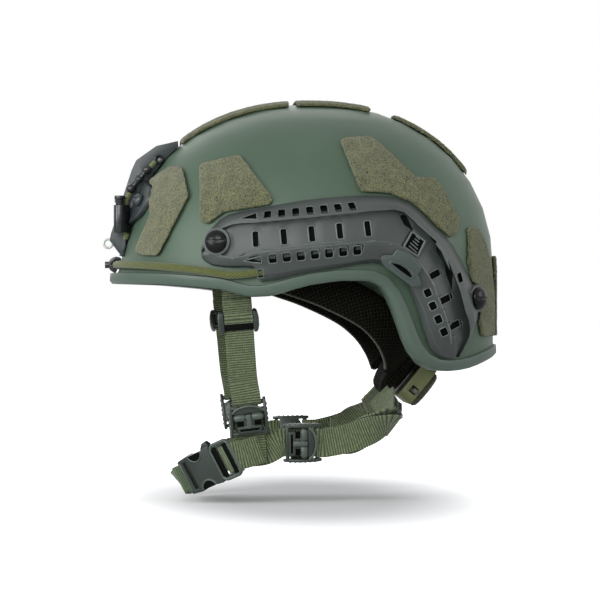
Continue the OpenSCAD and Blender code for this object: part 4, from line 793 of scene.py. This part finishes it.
for paintedShadeRecess in railLook["recesses"]:
    # the dark bands at the bend and along the ledge's inner wall: cut in, with painted shade on their walls
    deep = touch(railTree, paintedShadeRecess["floor"])
    places = [onPlane(spot, deep, towards) for spot in paintedShadeRecess["outline"]]
    punches.append(outlinePiece("paintedShadeRecess", places, towards, -paintedShadeRecess["depth"], railLook["recessReach"],
                                "paintedShadeRecess"))
for line in railLook["lines"]:
    # pale beads along the ledges' edges: painted highlight lines
    places = [list(touch(railTree, spot) * 1000) for spot in line]
    rims.append(wear(layTube("ledgeHighlightLine", places, railLook["line"], cells=8), "railEdge"))
cut(rail, punches)
smoothShade(rail)
rail = joined("railLeft", [rail] + rims)
settleBoth(rail, "rail", "rail")
print("rails ready")

latchLook = {
    "middle": (415, 243), "size": (8, 8), "tilt": 40, "shift": (2.8, -0.5), "round": 0.00025, "depth": 0.0012,
    "reach": 0.002, "rim": 0.0013, "rimRise": 0.0003, "rib": 0.42,
    "field": [(401, 247.4), (409.5, 232), (422.2, 241.6), (414.9, 256.8)],
    "ribs": [[(413.3, 236.7), (416.9, 239.9)], [(412, 239.2), (416.2, 242.8)],
             [(410.2, 241.4), (415.3, 246.1)],
             [(407.7, 243.4), (414.9, 249.9)], [(406.2, 246.3), (414, 253.3)]]}

axes, _ = seat(treeOf("rail_latch_left"), latchLook["middle"], latchLook["size"], latchLook["tilt"], 1)
latchOut, latchMiddle = axes.col[2].to_3d(), axes.translation.copy()


def latchSpot(spot):
    moved = (spot[0] + latchLook["shift"][0], spot[1] + latchLook["shift"][1])
    return onPlane(moved, latchMiddle, latchOut)


latch = copyNode("rail_latch_left", "railLatchLeft")
roundEdges(latch, latchLook["round"])
wear(latch, "latch")
field = [latchSpot(spot) for spot in reversed(latchLook["field"])]
# the sunk field's walls carry painted shade: near-black
cut(latch, [outlinePiece("field", field, latchOut, -latchLook["depth"], latchLook["reach"], "paintedShadeRecess")])
smoothShade(latch)
# the rim round the field and the grip ribs are in the paler rail colour: painted highlight
trims = [ringPiece("fieldRim", field, latchOut, latchLook["rim"], latchLook["rimRise"], "railEdge")]
for a, b in latchLook["ribs"]:
    a, b = latchSpot(a), latchSpot(b)
    route = [list(p * 1000) for p in (a, a.lerp(b, 0.5), b)]
    rib = layTube("gripRib", route, latchLook["rib"], cells=8, step=0.001)
    trims.append(wear(rib, "railEdge"))
latch = joined("railLatchLeft", [latch] + trims)
settleBoth(latch, "rail_latch", "latch")
print("latches ready")

clipLook = {
    "skirt": (400, 268), "shift": (3.5, 0.5), "thick": 0.0034, "foot": 0.001, "round": 0.0007,
    "depth": 0.0026,
    "reach": 0.002, "lip": (0.0016, 0.0009), "line": (0.0009, 0.0003), "lineSink": 0.0004,
    "outline": [(393.4, 249.2), (400.6, 251.9), (405.9, 255), (410.8, 259.5), (414.9, 264), (417.5, 268),
                (414.2, 273.3), (414, 274.7), (417.1, 283.6), (416.6, 285.8), (412.2, 285.8), (407.7, 284.5),
                (403.3, 281.4), (392.1, 273.3), (383.2, 266.6), (379.1, 262.2), (378, 258.6), (378.7, 255.9),
                (380.5, 255), (389.4, 255.5)],
    "slot": [(386.7, 261.3), (392.1, 262.2), (397, 263.5), (403.3, 267.5), (407.7, 272), (409.9, 276.9),
             (407.3, 278.3), (403.3, 276), (394.3, 269.3), (387.2, 263.5)]}

skirt, skirtNormal, _, _ = treeOf("rail_left", "shell").ray_cast(camera.location, rayAt(clipLook["skirt"]))
clipOut = (skirtNormal + towards).normalized()
clipMiddle = skirt + clipOut * clipLook["thick"]


def clipSpot(spot):
    return onPlane((spot[0] + clipLook["shift"][0], spot[1] + clipLook["shift"][1]), clipMiddle, clipOut)


outline = [clipSpot(spot) for spot in reversed(clipLook["outline"])]
slot = [clipSpot(spot) for spot in reversed(clipLook["slot"])]
clip = outlinePiece("strapClips", outline, clipOut, -clipLook["thick"] - clipLook["foot"], 0, "clip")
# the lens-shaped slot is cut with near-black walls: painted shade
cut(clip, [outlinePiece("lens", slot, clipOut, -clipLook["depth"], clipLook["reach"], "paintedShadeRecess")])
roundEdges(clip, clipLook["round"], 3)
smoothShade(clip, 40)
lip = ringPiece("clipLip", slot, clipOut, *clipLook["lip"], "clip")
line = ringPiece("clipLine", outline, clipOut, *clipLook["line"], "clip", 60)
line.data.transform(Matrix.Translation(-clipOut * clipLook["lineSink"]))
clip = joined("strapClips", [clip, lip, line])
clip = joined("strapClips", [clip, mirrorOf(clip, "strapClipRight")])
settle(clip, "helmet", "clip", "strap_clips")
print("strap clips ready")


# strap hardware, in its own frames: x across, y along the webbing, z out, in millimetres
hardware = {
    "front": {"at": (62.5, -43, -94), "along": (0.201538, -0.128252, 0.971048), "face": (1, 0, -0.2)},
    "rear": {"at": (59, -6, -111.5), "along": (0, 1, 0.02), "face": (1, 0, -0.12)},
    "glide": {"at": (80.752, -50.7, -28.16), "along": (0.286303, -0.0852092, 0.954343),
              "face": (0.958052, 0.0120132, -0.286343)},
    "buckle": {"at": (50, -63, -125.5), "along": (-0.55, -0.745, -0.38), "face": (1, 0, 0)}}


def axesOf(name):
    how = hardware[name]
    along = Vector(how["along"]).normalized()
    across = along.cross(Vector(how["face"])).normalized()
    axes = Matrix((across, along, across.cross(along))).transposed().to_4x4()
    axes.translation = Vector(how["at"])
    return Matrix.Scale(0.001, 4) @ axes


def finished(piece, finish, bevel, steps=2):
    roundEdges(piece, bevel, steps)
    smoothShade(piece, 40)
    return wear(piece, finish)


def block(low, high, finish, bevel, steps=2):
    bpy.ops.mesh.primitive_cube_add(size=1, location=(0, 0, 0))
    piece = named("block")
    piece.data.transform(Matrix.Translation([(a + b) / 2 for a, b in zip(low, high)])
                         @ Matrix.Diagonal([b - a for a, b in zip(low, high)] + [1]))
    return finished(piece, finish, bevel, steps)


def rod(low, high, y, z, radius, finish, bevel=0.4):
    bpy.ops.mesh.primitive_cylinder_add(vertices=24, radius=radius, depth=high - low, location=(0, 0, 0))
    piece = named("rod")
    piece.data.transform(Matrix.Translation(((low + high) / 2, y, z))
                         @ Matrix.Rotation(math.radians(90), 4, "Y"))
    return finished(piece, finish, bevel)


def madeOf(how):
    return [rod(*values) for values in how["rods"]] + [block(*values) for values in how["blocks"]]


def plate(outline, low, high, bevel, sideways=False):
    # an outline in x and y from low to high in z, or sideways: in y and z, from low to high in x
    points = [Vector((0, *p)) if sideways else Vector((*p, 0)) for p in outline]
    piece = outlinePiece("plate", points, Vector((1, 0, 0)) if sideways else up, low, high, "buckle")
    return finished(piece, "buckle", bevel)


def bead(points, radius):
    piece = layTube("bead", points, radius, cells=10, step=0.0008)
    piece.data.transform(Matrix.Scale(1000, 4))
    # beads wear the paler buckle colour: a painted highlight line, as on the arch and round the socket's
    # windows
    return wear(piece, "buckleEdge")


def lay(name, pieces, *places):
    # the finished piece in each of its frames on the left
    master = joined("master", pieces)
    left = [stamp(master, axesOf(place)) for place in places]
    bpy.data.objects.remove(master)
    return joined(name, left)


# rods: from x, to x, y, z, radius, finish, bevel; blocks: low and high corner, finish, bevel
adjuster = {
    "cheek": [(-13.4, -1), (-12.6, 1.4), (-9, 3.3), (-4, 4.6), (1, 5), (6, 4.4), (10, 3), (13, 1.2),
              (13.4, -0.8), (9, -2.9), (0, -3.5), (-9, -2.9)],
    "cheekFrom": 10.9, "cheekTo": 13, "cheekBevel": 0.6,
    "teeth": [-8.6, -5.2, -1.8, 1.6, 5, 8.4], "tooth": {"from": 12.4, "to": 13.5, "half": 0.75, "low": -1.6,
                                                        "high": 3.4, "taper": 0.12, "bevel": 0.35},
    "arch": [(-10.9, 4.6, 3.6), (-8.6, 6.8, 4.4), (-4.6, 8.5, 4.9), (0, 9.1, 5), (4.6, 8.5, 4.9),
             (8.6, 6.8, 4.4), (10.9, 4.6, 3.6)],
    "archRadius": 0.85, "hoodInset": 0.3, "hoodFoot": [(10.9, 3.9), (-10.9, 3.9)], "hoodZ": (2.9, 3.7),
    "hoodBevel": 0.25,
    "rods": [(-11.5, 11.5, 10.3, 0, 1.6, "buckle"), (-11.5, 11.5, -10.3, 1.9, 1.3, "buckle")],
    "blocks": [((-11.4, -8, -3), (11.4, 6, -1.9), "buckle", 0.3)]}

parts, tooth = [], adjuster["tooth"]
for side in (-1, 1):
    low, high = sorted((side * adjuster["cheekFrom"], side * adjuster["cheekTo"]))
    parts.append(plate(adjuster["cheek"], low, high, adjuster["cheekBevel"], sideways=True))
    low, high = sorted((side * tooth["from"], side * tooth["to"]))
    for y in adjuster["teeth"]:
        parts.append(block((low, y - tooth["half"], tooth["low"]),
                           (high, y + tooth["half"], tooth["high"] - abs(y) * tooth["taper"]), "buckle",
                           tooth["bevel"]))
hood = [(x, y - adjuster["hoodInset"]) for x, y, z in adjuster["arch"]] + adjuster["hoodFoot"]
parts += [plate(hood[::-1], *adjuster["hoodZ"], adjuster["hoodBevel"]),
          bead(adjuster["arch"], adjuster["archRadius"])]
left = lay("adjusterFrames", parts + madeOf(adjuster), "front", "rear")
settle(joined("adjusterFrames", [left, mirrorOf(left, "right")]), "helmet", "buckle", "adjuster_frames")

# the barrels and the stem wear the paler buckle colour, which is painted highlight; the thin near-black block
# under the barrels is painted shade
lever = {
    "rods": [(-10.3, 10.3, 1, 2.8, 2.2, "buckle"), (-9.3, -2.5, 1, 3, 2.6, "buckleEdge", 0.8),
             (2.5, 9.3, 1, 3, 2.6, "buckleEdge", 0.8)],
    "blocks": [((-1.5, -6.2, 3.4), (1.5, 3.4, 6), "buckleEdge", 0.6),
               ((-3.6, -5.6, 2.4), (3.6, -0.4, 4.2), "buckle", 0.5),
               ((-8.2, -5.4, 1.9), (8.2, -1.2, 2.4), "paintedShadeRecess", 0.15)],
    "bar": ((-8.4, -9.9, 2.2), (8.4, -4.9, 5.2), "buckle", 0.8, 3),
    "groove": (13.4, 1.7), "grooveAt": (0, -7.4, 5.2), "grooveDepth": 0.9, "grooveReach": 1}

bar = block(*lever["bar"])
groove = [p + Vector(lever["grooveAt"]) for p in roundedBox(*lever["groove"])]
# the groove is cut with near-black walls: painted shade
cut(bar, [outlinePiece("groove", groove, up, -lever["grooveDepth"], lever["grooveReach"],
                   "paintedShadeRecess")])
master = joined("camLever", madeOf(lever) + [bar])
for place in ("front", "rear"):
    piece = stamp(master, axesOf(place))
    piece.name = piece.data.name = "camLever" + place.capitalize() + "Left"
    settleBoth(piece, "cam_lever_" + place, "buckle")
bpy.data.objects.remove(master)
print("adjusters ready")

# the near-black block across the window is painted shade in the gap between the bars
glide = {
    "end": [(9.9, -7.2), (11.4, -7.7), (12.9, -6.4), (13.7, -2.6), (13.7, 2.6), (12.9, 6.4), (11.4, 7.7),
            (9.9, 7.2)],
    "endZ": (-2.8, 4.7), "endBevel": 1.0,
    "rods": [(-10.4, 10.4, 4.9, -2, 0.9, "buckle"), (-10.4, 10.4, -4.9, -2, 0.9, "buckle")],
    "blocks": [((-10.2, -5.6, 2.9), (10.2, -0.9, 3.8), "paintedShadeRecess", 0.3)],
    "web": [(-1.3, 2.9), (-0.6, 4.2), (1.2, 4.9), (4.2, 5.1), (6.4, 4.7), (7.4, 3.4), (7.3, 2.9)],
    "webHalf": 9.5, "webThick": 1.1}


def webOver(how):
    # webbing across x, bent over the bar along a profile of y and z
    line = catmull([(0, y, z) for y, z in how["web"]], 6)

    def place(u, v):
        return line[round(v * (len(line) - 1))] + Vector(((u - 0.5) * 2 * how["webHalf"], 0, 0))
    piece = gridPiece("webOver", 8, len(line) - 1, place,
                      (2 * how["webHalf"] / 1000, reachOf(line)[-1] / 1000))
    modify(piece, "body", "SOLIDIFY", thickness=how["webThick"], offset=-1)
    applyModifiers(piece)
    smoothShade(piece, 50)
    return wear(piece, "web")


ends = [plate(outline, *glide["endZ"], glide["endBevel"])
        for outline in (glide["end"], [(-x, y) for x, y in reversed(glide["end"])])]
settleBoth(lay("triglideLeft", ends + madeOf(glide) + [webOver(glide)], "glide"), "triglide", "buckle")
print("tri-glides ready")

# the near-black blocks are painted shade in the ladder's slots and in the gap before the socket; the ladder
# ring wears the paler buckle colour, which is painted highlight
plugLook = {
    "ladder": (25.6, 15.4, 0.22), "ladderAt": (0, -7.9, 2.2), "ladderBar": 2.6, "ladderRise": 1.9,
    "round": 0.0003,
    "rods": [], "blocks": [((-11.4, -14.2, 2.9), (11.4, -10.7, 3.7), "paintedShadeRecess", 0.3),
                           ((-11.4, -5.5, 2.9), (11.4, -2.2, 3.7), "paintedShadeRecess", 0.3),
                           ((-11, -1.6, -1.8), (11, 0.6, 3.6), "paintedShadeRecess", 0.4)]}

ring = ringPiece("ladder", [p + Vector(plugLook["ladderAt"]) for p in roundedBox(*plugLook["ladder"])], up,
                 plugLook["ladderBar"], plugLook["ladderRise"], "buckleEdge", 64)
plug = copyNode("buckle_plug", "buckleBase")
roundEdges(plug, plugLook["round"])
smoothShade(plug)
wear(plug, "buckle")
settle(joined("bucklePlug", [plug, lay("plugTrim", [ring] + madeOf(plugLook), "buckle")]),
       bodyOf["buckle_plug"], "buckle", "buckle_plug")

socketLook = {
    "ear": [(11, 0.4), (14.6, -0.4), (17.2, 1.2), (17, 4), (14, 6.8), (11, 8)], "earZ": (-2.2, 2.8),
    "earBevel": 0.7,
    "window": {"at": (12.7, 12.6), "half": (5.4, 5.6), "top": 4.1, "deep": 0.7, "proud": 0.02, "steps": 16,
               "line": 0.55},
    "end": ((-10.5, 26.4, -3.6), (10.5, 27.9, 4.3), "buckleEdge", 0.5), "round": 0.5}

socket = copyNode("buckle_socket", "buckleSocket")
wear(socket, "buckle")
socket.data.transform(axesOf("buckle").inverted())
trims, how = [], socketLook["window"]
for side in (-1, 1):
    arc = [Vector((side * (how["at"][0] - how["half"][0] * math.cos(a)),
                   how["at"][1] + how["half"][1] * math.sin(a), how["top"]))
           for a in (math.pi * (i / how["steps"] - 0.5) for i in range(how["steps"] + 1))]
    # each side window is a near-black plate, which is painted shade, with a bead of painted highlight round
    # it
    trims += [outlinePiece("window", arc, up, -how["deep"], how["proud"], "paintedShadeRecess"),
              bead([tuple(p) for p in arc], how["line"])]
roundEdges(socket, socketLook["round"])
smoothShade(socket)
# the end block wears the paler buckle colour: painted highlight
trims += [plate(socketLook["ear"], *socketLook["earZ"], socketLook["earBevel"]), block(*socketLook["end"])]
socket = joined("buckleSocket", [socket] + trims)
socket.data.transform(axesOf("buckle"))
settle(socket, bodyOf["buckle_socket"], "buckle", "buckle_socket")
print("buckle ready")


# loop panels

panels = {"nodes": ["front_patches", "temple_patches", "side_patches", "rear_corner_patches",
                    "crown_front_patch", "crown_patch", "crown_rear_patch", "rear_patch"],
          "voxel": 0.0009, "soften": 3, "curl": 0.0016, "pile": 0.0009}

curls = bpy.data.textures.new("curls", "CLOUDS")
curls.noise_scale = panels["curl"]
curls.noise_depth = 1

for node in panels["nodes"]:
    piece = copyNode(node, camel(node), 0)
    modify(piece, "grid", "REMESH", mode="VOXEL", voxel_size=panels["voxel"])
    modify(piece, "soften", "SMOOTH", factor=0.5, iterations=panels["soften"])
    modify(piece, "pile", "DISPLACE", texture=curls, texture_coords="LOCAL", strength=panels["pile"],
           mid_level=0.5)
    applyModifiers(piece)
    smoothShade(piece, 180)
    settle(piece, bodyOf[node], "loop", node)
print("loop panels ready")


# webbing

webbing = {"width": 19.5, "thick": 1.3, "step": 0.0012, "cells": 8, "edge": 0.0004}


def layStrap(name, values):
    how = {**webbing, **values}
    frames, length = evenRoute(how["route"], how["across"], how["step"])

    def place(u, v):
        p, along, wide, out = frames[round(v * (len(frames) - 1))]
        return p + wide * (how["width"] / 1000 * (u - 0.5))
    piece = gridPiece(name, how["cells"], len(frames) - 1, place, (how["width"] / 1000, length))
    modify(piece, "body", "SOLIDIFY", thickness=how["thick"] / 1000, offset=0)
    modify(piece, "edge", "BEVEL", limit_method="ANGLE", angle_limit=math.radians(60), width=how["edge"],
           segments=2)
    applyModifiers(piece)
    smoothShade(piece, 50)
    return piece


frontStrap = {
    "route": [[83.1, -65.5, 37], [86.3, -64, 24], [89.4, -58.6, 13], [88.6, -55.9, 5], [86.2, -53.4, -3],
              [86.8, -52.5, -8], [78.4, -50, -36], [70, -47.5, -64], [68.4691, -45.1137, -78.5261],
              [67.4614, -44.4724, -83.3813], [66.8351, -44.2996, -84.6188], [65.6683, -44.1738, -85.3777],
              [64.2735, -44.1286, -85.4548], [63.0246, -44.1763, -84.8293], [62.2561, -44.3039, -83.669],
              [62.174, -44.4774, -82.2846], [63.1817, -45.1186, -77.4293], [71.8203, -47.4772, -64.5441],
              [80.2203, -49.9772, -36.5441], [87.0, -52.3, -13.5]],
    "across": [[0, -1, 0]] * 4 + [[-0.0251529, -0.991741, -0.125764]] * 16}

rearStrap = {
    "step": 0.001,
    "route": [[56.3192, 13.4897, -110.789], [56.3192, 5.49127, -110.948], [56.6784, 4.1424, -111.019],
              [57.6596, 3.15668, -111.156], [59, 2.79824, -111.324], [60.3404, 3.16312, -111.478],
              [61.3216, 4.15354, -111.576], [61.6808, 5.50413, -111.592], [61.6808, 10.5031, -111.492],
              [63.8, 28, -107.5], [65.4126, 50.1341, -99.5253], [61.3107, 55.7577, -100.266],
              [60.1898, 56.8105, -100.146], [58.8736, 57.293, -99.5026], [57.7148, 57.0757, -98.508],
              [57.0238, 56.217, -97.4288], [56.9859, 54.9469, -96.5543], [57.6112, 53.6058, -96.1187],
              [61.7131, 47.9822, -95.3777], [58.6, 30, -108.2], [58.8, 22, -109.8]],
    "across": [[0.119122, -0.0198536, 0.992681]] * 9 + [[0, -0.05, 1]] + [[0.520865, 0.473514, 0.710271]] * 9
              + [[0, -0.03, 1], [0, -0.06, 1]]}

junctionWeb = {
    "Front": {"route": [[62.2234, -43.3856, -90.9041], [60.3591, -42.1993, -99.8863],
                        [58.4949, -41.0129, -108.868], [58.7, -40.3, -118], [58.7, -40, -125]],
              "across": [[-0.0251529, -0.991741, -0.125764]] * 3 + [[0, -1, 0]] * 2},
    "Rear": {"route": [[58.1064, -3.00274, -111.333], [58.1064, -12.2509, -111.518],
                       [58.1064, -21.499, -111.703], [56.4, -31.7, -117], [56.4, -44.5, -118.4]],
             "across": [[0.119122, -0.0198536, 0.992681]] * 3 + [[0, -0.12, 1], [0, -0.2, 1]]},
    "Buckle": {"route": [[60.5, -34.5, -115.5], [61.1, -45.5, -119], [59.9462, -53.5804, -120.695],
                         [56.6494, -58.0461, -122.973], [55.6827, -58.8125, -123.364],
                         [54.4154, -59.0457, -123.483], [53.1869, -58.6832, -123.298],
                         [52.3266, -57.822, -122.859], [52.0648, -56.6931, -122.283],
                         [52.4718, -55.5988, -121.725], [55.7687, -51.1331, -119.447],
                         [58.23, -46.1779, -116.92]],
               "across": [[0, -0.2, 1], [0, -0.3, 1]] + [[0, -0.454374, 0.890811]] * 10, "step": 0.001}}

chinStrap = {
    "route": [[35.6038, -82.5002, -135.446], [33.5159, -85.3285, -136.889], [31.0192, -89.1968, -138.862],
              [20, -86.5, -141], [0, -88, -142.5], [-20, -86, -142], [-38, -75, -139], [-51, -57, -129.5],
              [-54.4, -46, -122.5], [-54.6, -39, -118.5]],
    "across": [[0, -0.454374, 0.890811]] * 3 + [[0, -0.62, 0.78], [0, -0.66, 0.75], [0, -0.6, 0.8],
                                                [0, -0.5, 0.86],
               [0, -0.4, 0.9], [0, -0.2, 1], [0, -0.2, 1]], "step": 0.0015}

napeTab = {
    "route": [[31, 49, -79.9], [40.5431, 53.4226, -86.6633], [50.0861, 57.8452, -93.4266],
              [51.388, 57.8444, -94.3808], [52.7343, 57.1024, -94.8734], [53.7298, 55.8369, -94.7598],
              [54.0825, 54.4192, -94.0733], [53.6889, 53.2653, -93.0154], [52.6646, 52.7138, -91.8965],
              [51.3099, 52.9265, -91.0449], [37, 52, -78.9]],
    "across": [[0.3, 0.75, 0.6]] * 2 + [[0.520865, 0.473514, 0.710271]] * 8 + [[0.3, 0.75, 0.6]],
    "width": 17.5}

settleBoth(layStrap("frontStrapLeft", frontStrap), "front_strap", "web")
settleBoth(layStrap("rearStrapLeft", rearStrap), "rear_strap", "web")

parts = [layStrap("junction" + name, values) for name, values in junctionWeb.items()]
parts += [mirrorOf(piece, piece.name + "Right") for piece in parts[:2]]
settle(joined("junctionWebbing", parts), "helmet", "web", "junction_webbing")

left = layStrap("napeTabLeft", napeTab)
settle(joined("napeTabs", [left, mirrorOf(left, "napeTabRight")]), "helmet", "web", "nape_tabs")

chin = layStrap("chinStrap", chinStrap)
wear(chin, "webChin")
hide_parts("chin_strap")
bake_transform(chin)
print("webbing laid")


# cords

bungee = {
    "half": [[110.581, -30.9484, 4.6], [109.379, -38.1611, 4.4], [107.34, -47.4617, 3],
             [104.336, -57.8435, 2.6],
             [99.5195, -70.3305, 4.6], [93.0558, -82.8728, 6.4], [84.3748, -95.487, 7.8],
             [72.355, -108.171, 9],
             [57.7777, -118.818, 9.8], [41.9346, -126.345, 10.2], [23.8332, -131.076, 10.5]],
    "middle": [0, -132.803, 10.6], "radius": 2.6}
route = bungee["half"] + [bungee["middle"]] + [[-p[0], p[1], p[2]] for p in reversed(bungee["half"])]
cord = layTube("frontBungee", route, bungee["radius"], cells=16)
settle(cord, "helmet", "bungee", "front_bungee")

lanyard = {"upper": [[25.9, -105.9, 81.9], [26.6, -108.5, 78.9], [27, -111.5, 76]],
           "lower": [[26, -122.6, 63], [25.6, -124, 59], [25.4, -126.2, 53.5], [25.4, -126.2, 44.5],
                     [25.4, -126.2, 33.5], [24.6, -125.2, 31], [23, -127, 28.4]], "radius": 1.5}
cords = []
for part in ("upper", "lower"):
    piece = layTube("lanyard" + part.capitalize(), lanyard[part], lanyard["radius"], cells=10, step=0.0007,
                    beads=0.0003, beadPitch=0.0028)
    cords += [piece, mirrorOf(piece, piece.name + "Right")]
settle(joined("lanyardCords", cords), "helmet", "cord", "lanyard_cords")
print("cords laid")


# nape bands of air mesh with piping

napeBand = {
    "route": [[94.1, -34, 8], [92.1, -12, 1], [87.3, 10, -7], [80.5, 36, -20], [71, 51, -33],
              [58, 58.5, -45.5], [42.6, 60.6, -56.6]],
    "across": [[0, 0.3, 1], [0, 0.35, 1], [0, 0.4, 1], [0, 0.5, 1], [0.1, 0.6, 1], [0.1, 0.7, 1],
               [0, 0.75, 1]],
    "width": 25, "thick": 7, "cells": 62, "step": 0.0011, "pitch": 3.4, "depth": 0.00045,
    "closed": 0.35, "gain": 1.5, "corners": (0.75, 0.6), "piping": 1.1, "pipingInset": 0.0003}


def bandSection(how, steps=2000):
    # a flat oval with tight corners, in even steps
    fine = [tuple(0.5 * size * math.copysign(abs(c) ** power, c) for size, power, c in zip(
        (how["width"], how["thick"]), how["corners"], (math.cos(a), math.sin(a))))
            for a in (2 * math.pi * i / steps for i in range(steps))]
    reach = reachOf(fine + fine[:1])
    out, k = [], 0
    for i in range(how["cells"]):
        while k < steps - 1 and reach[k + 1] < reach[-1] * i / how["cells"]:
            k += 1
        out.append(fine[k])
    return out + fine[:1], reach[-1]


def layBand(name, how):
    frames, length = evenRoute(how["route"], how["across"], how["step"])
    section, around = bandSection(how)

    def place(u, v):
        p, along, wide, out = frames[round(v * (len(frames) - 1))]
        x, y = section[round(u * how["cells"])]
        a, b = u * around, v * length * 1000
        cell = abs(math.sin(math.pi * (a + b) / how["pitch"]) * math.sin(math.pi * (a - b) / how["pitch"]))
        dip = how["depth"] * max(0, cell - how["closed"]) * how["gain"]
        shrink = 1 - dip * 1000 / math.hypot(x, y)
        return p + (wide * x + out * y) * shrink / 1000
    piece = gridPiece(name, how["cells"], len(frames) - 1, place, (around / 1000, length))
    closeTube(piece)
    trims = []
    for side in (-1, 1):
        inset = side * (how["width"] / 2000 - how["pipingInset"])
        edge = [list((p + wide * inset) * 1000) for p, along, wide, out in frames[::6]]
        trims.append(layTube(name + "Piping", edge, how["piping"], cells=8, step=0.002))
    return piece, joined(name + "Piping", trims)


mesh, piping = layBand("napeBandLeft", napeBand)
meshRight, pipingRight = mirrorOf(mesh, "napeBandRight"), mirrorOf(piping, "napePipingRight")
for band, trim, node in ((mesh, piping, "nape_band_left"), (meshRight, pipingRight, "nape_band_right")):
    settle(band, "helmet", "mesh", node)
    settle(trim, "helmet", "piping")
print("nape bands laid")


# liner pads

pads = {node: {"finish": "pad", "voxel": 0.004, "cap": 0.002, "fill": 0.6}
        for node in ("crown_pad", "front_pad", "rear_pad", "side_pads")}
pads["nape_pad"] = {"finish": "mesh", "voxel": 0.003, "cap": 0.0012, "fill": 0.7}
cushion = {"pressure": 4, "mass": 0.3, "frames": 20, "start": 0.0012}


def swell(piece, how):
    rest = [v.co.copy() for v in piece.data.vertices]
    cloth = piece.modifiers.new("swell", "CLOTH")
    cloth.settings.use_pressure = True
    cloth.settings.uniform_pressure_force = cushion["pressure"]
    cloth.settings.effector_weights.gravity = 0
    cloth.settings.mass = cushion["mass"]
    scene = bpy.context.scene
    scene.frame_start, scene.frame_end = 1, cushion["frames"]
    for number in range(1, cushion["frames"] + 1):
        scene.frame_set(number)
    applyModifiers(piece)
    scene.frame_set(1)
    for vertex, old in zip(piece.data.vertices, rest):
        move = vertex.co - old
        if move.length > how["cap"]:
            vertex.co = old + move.normalized() * how["cap"]


for node, how in pads.items():
    piece = copyNode(node, camel(node), 0)
    modify(piece, "draw", "DISPLACE", strength=-cushion["start"], mid_level=0)
    modify(piece, "grid", "REMESH", mode="VOXEL", voxel_size=how["voxel"])
    modify(piece, "soften", "SMOOTH", iterations=2)
    applyModifiers(piece)
    swell(piece, how)
    modify(piece, "fine", "SUBSURF", levels=1, render_levels=1)
    applyModifiers(piece)
    edited(piece, (bpy.ops.uv.cube_project, {"cube_size": 0.001, "correct_aspect": False,
                                             "scale_to_bounds": False}))
    smoothShade(piece, 180)
    settle(piece, bodyOf[node], how["finish"], node)
print("pads ready")
